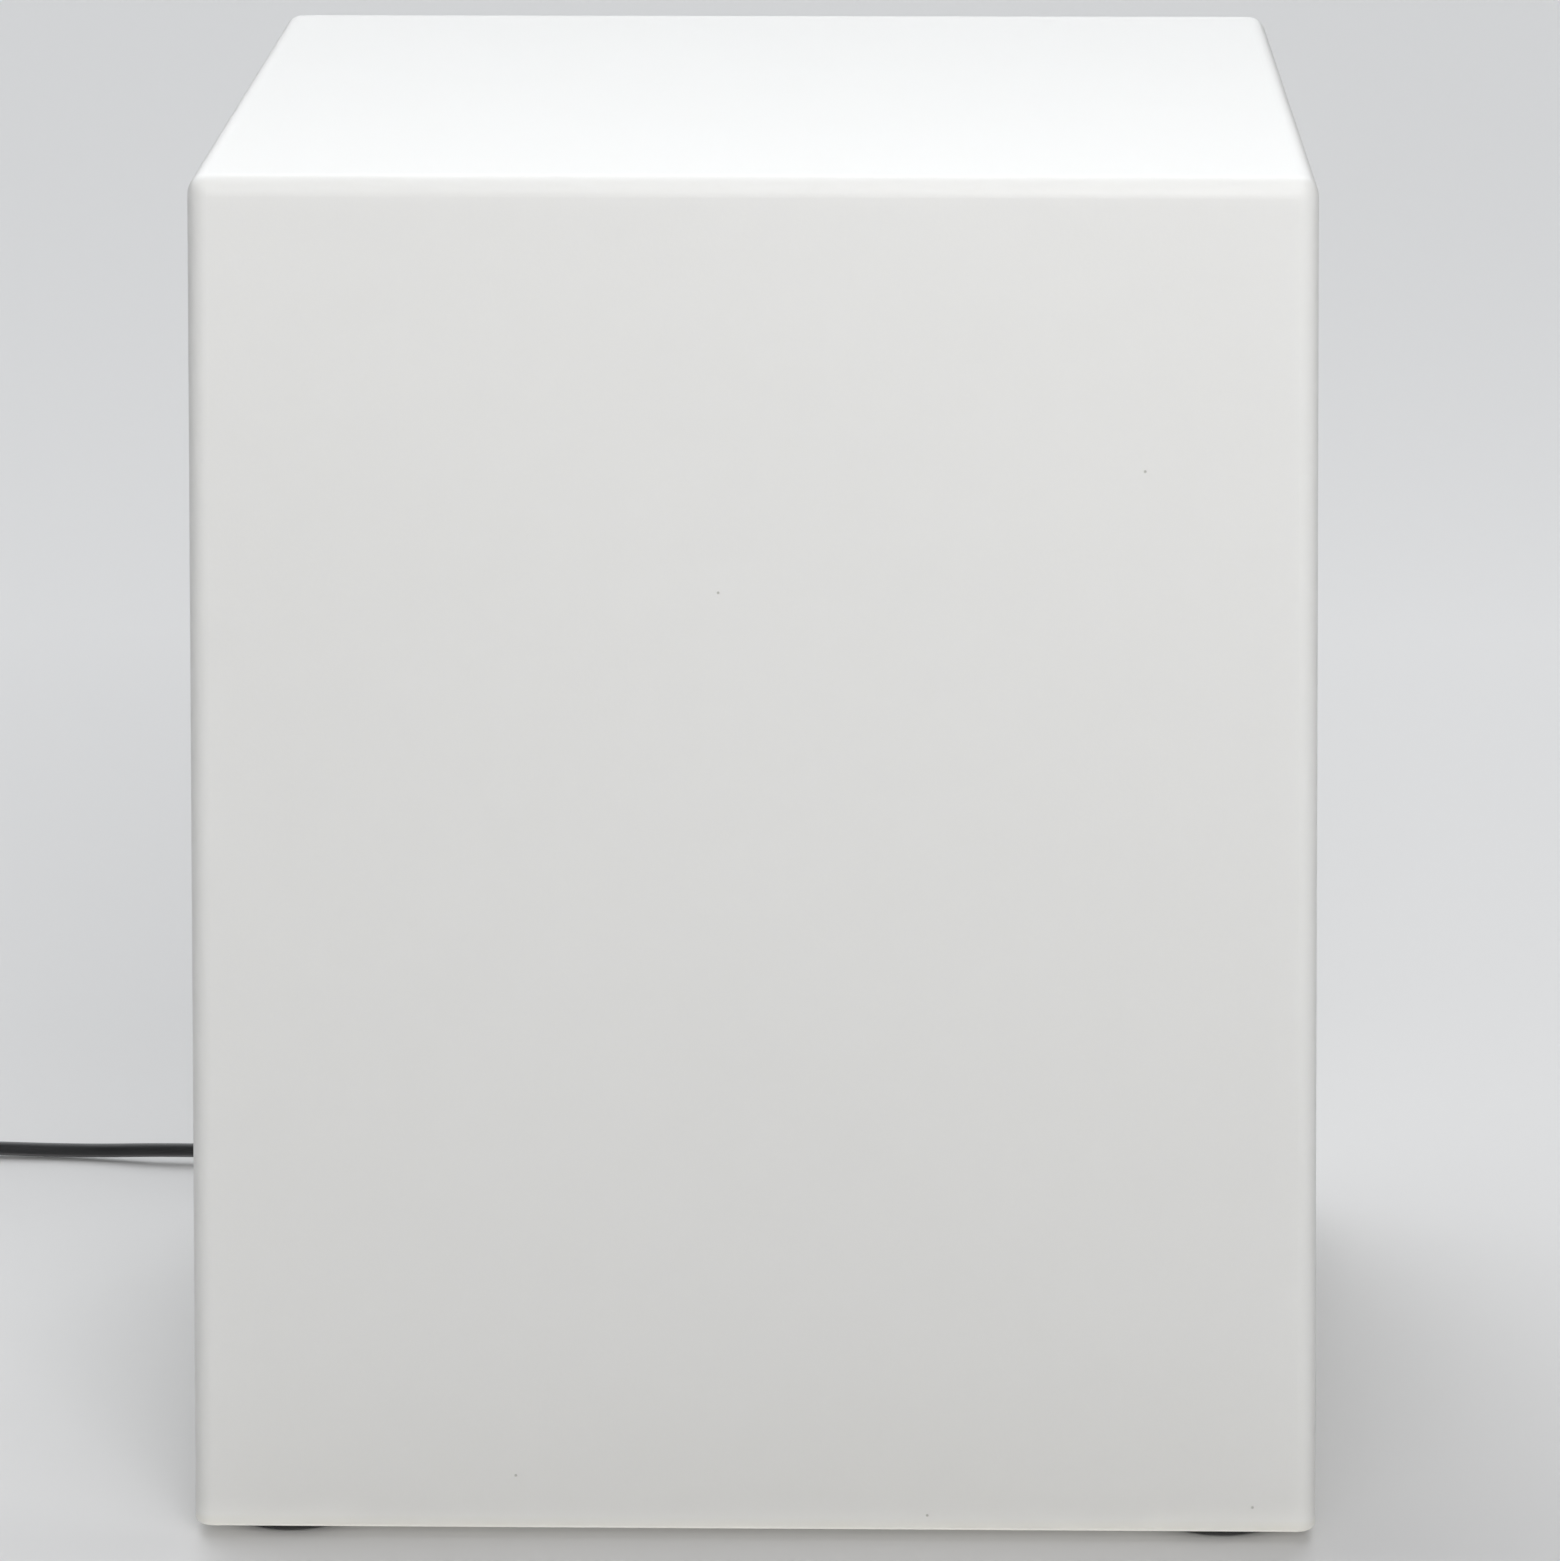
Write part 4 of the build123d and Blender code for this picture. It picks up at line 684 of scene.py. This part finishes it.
(_, _, shell_low), (_, _, shell_high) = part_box("threaded_shell")
shell_low, shell_high = shell_low + END_SLACK, shell_high - END_SLACK
holder_thread = threaded_tube("holder_thread", HOLDER_R, shell_low, shell_high)
use_modifier(holder_thread, "SOLIDIFY", thickness=SHEET, offset=-1.0)
complete(holder_thread, "nickel_brass", "light_unit", "threaded_shell")

# %% The bulb's cap
CAP_R, CAP_SHEET = 0.0129, 0.0004
CAP_FOOT, CAP_COLLAR = 0.0024, 0.0032  # heights below and above the thread
COLLAR_R = 0.01335
# how far each ring is drawn out, and its radius
FOOT_RINGS = [(-0.0012, 0.0123), (-0.0011, 0.0105)]
COLLAR_RINGS = [(0.0008, CAP_R), (0.0004, COLLAR_R), (0.0019, COLLAR_R)]

(_, _, cap_low), (_, _, cap_high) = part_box("bulb_cap")
thread_low, thread_high = cap_low + CAP_FOOT, cap_high - CAP_COLLAR


def add_rings(piece, rings):
    """Draws out the selected open edge, ring after ring, and makes each perfectly round."""
    for rise, radius in rings:
        bpy.ops.mesh.extrude_region_move(TRANSFORM_OT_translate={"value": (0, 0, rise)})
        bpy.ops.object.mode_set(mode="OBJECT")
        for vertex in piece.data.vertices:
            if vertex.select:
                vertex.co.xy *= radius / vertex.co.xy.length
        bpy.ops.object.mode_set(mode="EDIT")


bulb_thread = threaded_tube("bulb_thread", CAP_R, thread_low, thread_high)
select_where(bulb_thread, lambda place: place.z < thread_low + TINY)
add_rings(bulb_thread, FOOT_RINGS)
bpy.ops.mesh.edge_face_add()
select_where(bulb_thread, lambda place: place.z > thread_high - TINY)
add_rings(bulb_thread, COLLAR_RINGS)
bpy.ops.mesh.select_all(action="SELECT")
bpy.ops.mesh.normals_make_consistent(inside=False)
use_modifier(bulb_thread, "SOLIDIFY", thickness=CAP_SHEET, offset=-1.0)
complete(bulb_thread, "nickel_brass", "bulb", "bulb_cap")

# %% [markdown]
# ## The feet
#
# Each foot is a thick disc of black rubber that sits in a pocket of the shell, with a screw through
# its middle. The grooves in its tread grip the floor and let water run out. A foot is a turned
# shape, so its outline is drawn once, closed, and carried round by the Screw modifier. The finished
# foot is then copied to the other three corners.

# %% The outline of a foot
FOOT_AT = 0.167  # from the middle of the box to the middle of a foot, along x and along y
FOOT_R, FOOT_TOP = 0.024, 0.0086
HOLE_R, BORE_R = 0.0022, 0.0058  # round the screw, and round its washer
BORE_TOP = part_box("foot_washers")[1][2]
TREAD_GROOVES, GROOVE_WIDTH, GROOVE_DEPTH = 3, 0.0017, 0.0009
EDGE_R, EDGE_STEPS = 0.0012, 5
LEAN = 0.0003  # how far a groove's side leans, and the small slope round the bore

outline = [(HOLE_R, FOOT_TOP), (HOLE_R, BORE_TOP), (BORE_R, BORE_TOP), (BORE_R, LEAN)]
tread_low, tread_high = BORE_R + LEAN, FOOT_R - EDGE_R
outline.append((tread_low, 0))
for k in range(TREAD_GROOVES):
    middle = tread_low + (tread_high - tread_low) * (k + 0.5) / TREAD_GROOVES
    half = GROOVE_WIDTH / 2
    outline += [(middle - half, 0), (middle - half + LEAN, GROOVE_DEPTH)]
    outline += [(middle + half - LEAN, GROOVE_DEPTH), (middle + half, 0)]
for k in range(EDGE_STEPS + 1):
    angle = math.pi / 2 * k / EDGE_STEPS
    outline.append((tread_high + EDGE_R * math.sin(angle), EDGE_R - EDGE_R * math.cos(angle)))
outline += [(FOOT_R, FOOT_TOP), outline[0]]
print(len(outline) - 1, "corners")

# %% Turn one foot and copy it
feet = start_line("feet")
draw_line([(radius, 0, height) for radius, height in outline])
carry_round(feet)
bpy.ops.object.mode_set(mode="EDIT")
bpy.ops.mesh.select_all(action="SELECT")
bpy.ops.mesh.remove_doubles(threshold=TINY)
bpy.ops.mesh.normals_make_consistent(inside=False)
bpy.ops.transform.translate(value=(-FOOT_AT, -FOOT_AT, 0))
for step in ((2 * FOOT_AT, 0, 0), (0, 2 * FOOT_AT, 0), (-2 * FOOT_AT, 0, 0)):
    bpy.ops.mesh.duplicate_move(TRANSFORM_OT_translate={"value": step})
complete(feet, "foot_rubber", "root", "rubber_feet")

# %% [markdown]
# ## The plug
#
# The plug is moulded round the end of the flex in one soft piece: a flat face for the pins, a thick
# front, and a waist with finger ribs behind it. The block is drawn out backwards from its face,
# section by section, and its long edges are rounded. Each rib is a band of faces drawn out a bit.

# %% Draw the plug out of one block
PLUG_X, PLUG_Z = -0.344, 0.0125
FACE_Y = 0.0401
FIRST_RUN = 0.0005  # the first block's own thickness
# run from the section before, then width and height, from the face back to the strain relief
PLUG_SECTIONS = [
    (0.0095, 0.0350, 0.0250),
    (0.0050, 0.0326, 0.0234),
    (0.0050, 0.0290, 0.0210),
    (0.0040, 0.0270, 0.0198),
    (0.0040, 0.0260, 0.0192),
    (0.0040, 0.0252, 0.0187),
    (0.0040, 0.0240, 0.0180),
    (0.0040, 0.0204, 0.0160),
    (0.0040, 0.0150, 0.0130),
]

deselect_all()
bpy.ops.mesh.primitive_cube_add(size=1)
plug = bpy.context.object
plug.name = "plug"
_, width, height = PLUG_SECTIONS[0]
bpy.ops.object.mode_set(mode="EDIT")
bpy.ops.transform.resize(value=(width, FIRST_RUN, height), center_override=(0, 0, 0))
bpy.ops.transform.translate(value=(PLUG_X, FACE_Y + FIRST_RUN / 2, PLUG_Z))
back = FACE_Y + FIRST_RUN
select_where(plug, lambda place: place.y > back - FIRST_RUN / 2)
bpy.ops.mesh.select_mode(type="FACE")
for run, wide, high in PLUG_SECTIONS:
    bpy.ops.mesh.extrude_region_move(TRANSFORM_OT_translate={"value": (0, run, 0)})
    back += run
    grow = (wide / width, 1, high / height)
    bpy.ops.transform.resize(value=grow, center_override=(PLUG_X, back, PLUG_Z))
    width, height = wide, high
print("plug:", round((back - FACE_Y) * 1000, 1), "mm long")

# %% Round its long edges
ROUNDING = 34.0  # percent of the width and of the height
ROUND_STEPS = 6


def select_elements(piece, kind, test):
    """Selects a piece's edges or faces that pass a test of their corners' places."""
    bpy.ops.object.mode_set(mode="EDIT")
    bpy.ops.mesh.select_mode(type="EDGE" if kind == "edges" else "FACE")
    bpy.ops.mesh.select_all(action="DESELECT")
    bpy.ops.object.mode_set(mode="OBJECT")
    corners = piece.data.vertices
    for element in getattr(piece.data, kind):
        element.select = test([corners[index].co for index in element.vertices])
    bpy.ops.object.mode_set(mode="EDIT")


select_elements(plug, "edges", lambda ends: abs(ends[0].y - ends[1].y) > FIRST_RUN / 2)
bpy.ops.mesh.bevel(offset_type="PERCENT", offset_pct=ROUNDING, segments=ROUND_STEPS, affect="EDGES")
bpy.ops.object.mode_set(mode="OBJECT")
print("plug:", len(plug.data.polygons), "faces, rounded")

# %% Draw out the finger ribs
RIBS = [0.0205, 0.0258, 0.0311, 0.0364]  # where each begins, behind the face
RIB_WIDTH, RIB_HEIGHT = 0.0026, 0.0006
PLUG_EDGE_R = 0.0004

for rib in RIBS:
    low, high = FACE_Y + rib, FACE_Y + rib + RIB_WIDTH
    bpy.ops.object.mode_set(mode="EDIT")
    for cut in (low, high):
        bpy.ops.mesh.select_all(action="SELECT")
        bpy.ops.mesh.bisect(plane_co=(0, cut, 0), plane_no=(0, 1, 0))
    select_elements(
        plug, "polygons", lambda corners: all(low - TINY < p.y < high + TINY for p in corners)
    )
    bpy.ops.mesh.extrude_region_shrink_fatten(TRANSFORM_OT_shrink_fatten={"value": RIB_HEIGHT})
use_modifier(
    plug, "BEVEL", width=PLUG_EDGE_R, segments=3, limit_method="ANGLE", angle_limit=BEVEL_ABOVE
)
complete(plug, "plug_rubber", "root", "plug_body")

# %% [markdown]
# ## The flex
#
# The lead is three metres of round rubber flex. It drops out of the gland under the box, runs
# along the channel to the back, turns left behind the box with a low arch where it never quite
# lay flat, and leaves the picture on the left. The rest is wound up just outside the picture.
# A real flex has no corners, so the whole lead is one NURBS curve: its control points pull the
# line towards them without forcing it through, which is how a springy flex behaves.

# %% The route of the lead
FLEX_R = 0.0029
GLAND_EXIT = 0.0365  # height at which the flex leaves the gland
COIL_LOW = 0.0042  # height of the flex's middle in the coil's lowest layer

LEAD_ROUTE = [
    (0, 0, GLAND_EXIT),
    (0, 0, 0.024),
    (0, 0.008, 0.0125),
    (0, 0.022, 0.0053),
    (0.0005, 0.044, FLEX_R),
    (-0.0005, 0.078, FLEX_R),
    (0.0008, 0.124, FLEX_R),
    (0, 0.168, FLEX_R),
    (-0.003, 0.206, FLEX_R),
    (-0.019, 0.236, 0.003),
    (-0.048, 0.251, 0.003),
    (-0.1, 0.251, 0.003),
    (-0.162, 0.243, 0.003),
    (-0.212, 0.2355, 0.0052),
    (-0.254, 0.236, 0.0058),
    (-0.292, 0.2426, 0.003),
    (-0.327, 0.2446, 0.0032),
    (-0.36, 0.245, COIL_LOW),
    (-0.392, 0.245, COIL_LOW),
]
print("route:", len(LEAD_ROUTE), "points")

# %% The coil's turns
COIL_PITCH = 0.0064
COIL_LAYERS = 4
HALF_TURNS_A_LAYER = 5
COIL_FIRST_R = 0.03826  # radius of the first half turn
COIL_END_RUN = 2 * FLEX_R
POINTS_A_HALF_TURN = 8


def coil_points():
    """Control points of the coil, half turn by half turn. The layers wind in and out in turn."""
    start = Vector(LEAD_ROUTE[-1])
    middle = start - Vector((COIL_END_RUN, COIL_FIRST_R + COIL_PITCH / 2, 0))
    pull = 1 / math.cos(math.pi / POINTS_A_HALF_TURN / 2)  # the curve runs inside its points
    inward = [-k * COIL_PITCH / 2 for k in range(HALF_TURNS_A_LAYER)]
    points, height = [], 0.0
    for layer in range(COIL_LAYERS):
        winds_in = layer % 2 == 0
        changes = inward if winds_in else inward[::-1]
        steps = [(k % 2 == 0, change, 0.0) for k, change in enumerate(changes)]
        if layer < COIL_LAYERS - 1:
            last = inward[-1] - COIL_PITCH / 2 if winds_in else COIL_PITCH / 2
            steps.append((False, last, COIL_PITCH))
        for on_left, change, climb in steps:
            shift = COIL_PITCH / 2 * (1 if winds_in else -1) if on_left else 0.0
            radius = (COIL_FIRST_R + change) * pull
            begin = math.pi / 2 if on_left else -math.pi / 2
            for k in range(POINTS_A_HALF_TURN):
                share = (k + 0.5) / POINTS_A_HALF_TURN
                angle = begin + math.pi * share
                along = math.sin(angle) * radius + shift
                arm = Vector((math.cos(angle) * radius, along, height + climb * share))
                points.append(middle + arm)
            height += climb
    last_y = middle.y - COIL_PITCH / 2 - COIL_FIRST_R
    return points, Vector((middle.x, last_y, start.z + height))


coil, coil_end = coil_points()
print("coil:", len(coil), "points, from", COIL_LOW, "to", round(coil_end.z, 4))

# %% [markdown]
# ## The straps round the coil
#
# Two plastic straps hold the coil together. A strap pulled tight follows the round flex in the
# corners of the bundle. Each is drawn as a box round the bundle: its two open sides are taken
# away, its four corners are rounded, and then it gets its thickness, on the inside.

# %% Wrap the two straps
STRAP, STRAP_WIDTH = 0.001, 0.010  # how thick and how wide
STRAP_Y, STRAP_TOP = 0.20354, 0.0276
STRAP_SIDES = [(-0.44026, -0.41751), (-0.38157, -0.35214)]  # the left and right side of each
STRAP_FIT = 0.0003  # room between the strap and the flex
STRAP_CORNER_R = STRAP + STRAP_FIT + FLEX_R
STRAP_EDGE_R = 0.0002


def wrap_strap(left, right):
    """A rounded band from left to right round the coil's bundle."""
    deselect_all()
    bpy.ops.mesh.primitive_cube_add(size=1)
    strap = bpy.context.object
    bpy.ops.object.mode_set(mode="EDIT")
    size = (right - left, STRAP_WIDTH, STRAP_TOP)
    bpy.ops.transform.resize(value=size, center_override=(0, 0, 0))
    bpy.ops.transform.translate(value=((left + right) / 2, STRAP_Y, STRAP_TOP / 2))
    select_elements(strap, "polygons", lambda corners: len({round(p.y, 6) for p in corners}) == 1)
    bpy.ops.mesh.delete(type="ONLY_FACE")
    select_elements(strap, "edges", lambda ends: abs(ends[0].y - ends[1].y) > STRAP_WIDTH / 2)
    bpy.ops.mesh.bevel(offset=STRAP_CORNER_R, segments=ROUND_STEPS, affect="EDGES")
    use_modifier(strap, "SOLIDIFY", thickness=STRAP, offset=-1.0)
    use_modifier(strap, "BEVEL", width=STRAP_EDGE_R, segments=2, limit_method="ANGLE")
    return strap


far_strap, straps = (wrap_strap(left, right) for left, right in STRAP_SIDES)
far_strap.select_set(True)
bpy.ops.object.join()
straps.name = "coil_straps"
complete(straps, "tie_plastic", "root", "coil_ties")

# %% [markdown]
# ## The tail and the whole curve
#
# From the coil's top the flex comes down to the plug in a short S. Then all the control points are
# strung on one curve, from the gland to the plug.

# %% The tail
# each step along x and along y, and its share of the way down to the plug
TAIL_STEPS = [
    (COIL_END_RUN, 0, 0.0),
    (0.016, 0, 0.0),
    (0.015, -0.0055, 0.25),
    (0.0115, -0.0115, 0.5),
    (0.0055, -0.015, 0.25),
    (0, -0.016, 0.0),
]

tail, here = [], coil_end
drop = coil_end.z - PLUG_Z
for across, along, share in TAIL_STEPS:
    here = here + Vector((across, along, -drop * share))
    tail.append(here)
print("the tail ends at", tuple(round(v, 4) for v in here))


# %% The curve itself
def round_curve(name, points, radius):
    """A smooth round cord along control points."""
    curve = bpy.data.curves.new(name, "CURVE")
    curve.dimensions = "3D"
    curve.bevel_depth = radius
    curve.bevel_resolution = 6
    curve.resolution_u = 6
    curve.use_fill_caps = True
    spline = curve.splines.new("NURBS")
    spline.points.add(len(points) - 1)
    for point, place in zip(spline.points, points):
        point.co = (*place, 1.0)
    spline.order_u = 3
    spline.use_endpoint_u = True
    piece = bpy.data.objects.new(name, curve)
    bpy.context.scene.collection.objects.link(piece)
    return piece


flex = round_curve("flex", [*LEAD_ROUTE, *coil, *tail], FLEX_R)
flex.data.materials.append(FINISHES["flex_rubber"])
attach(flex, "root")
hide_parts("cord_lead", "cord_coil", "cord_tail")
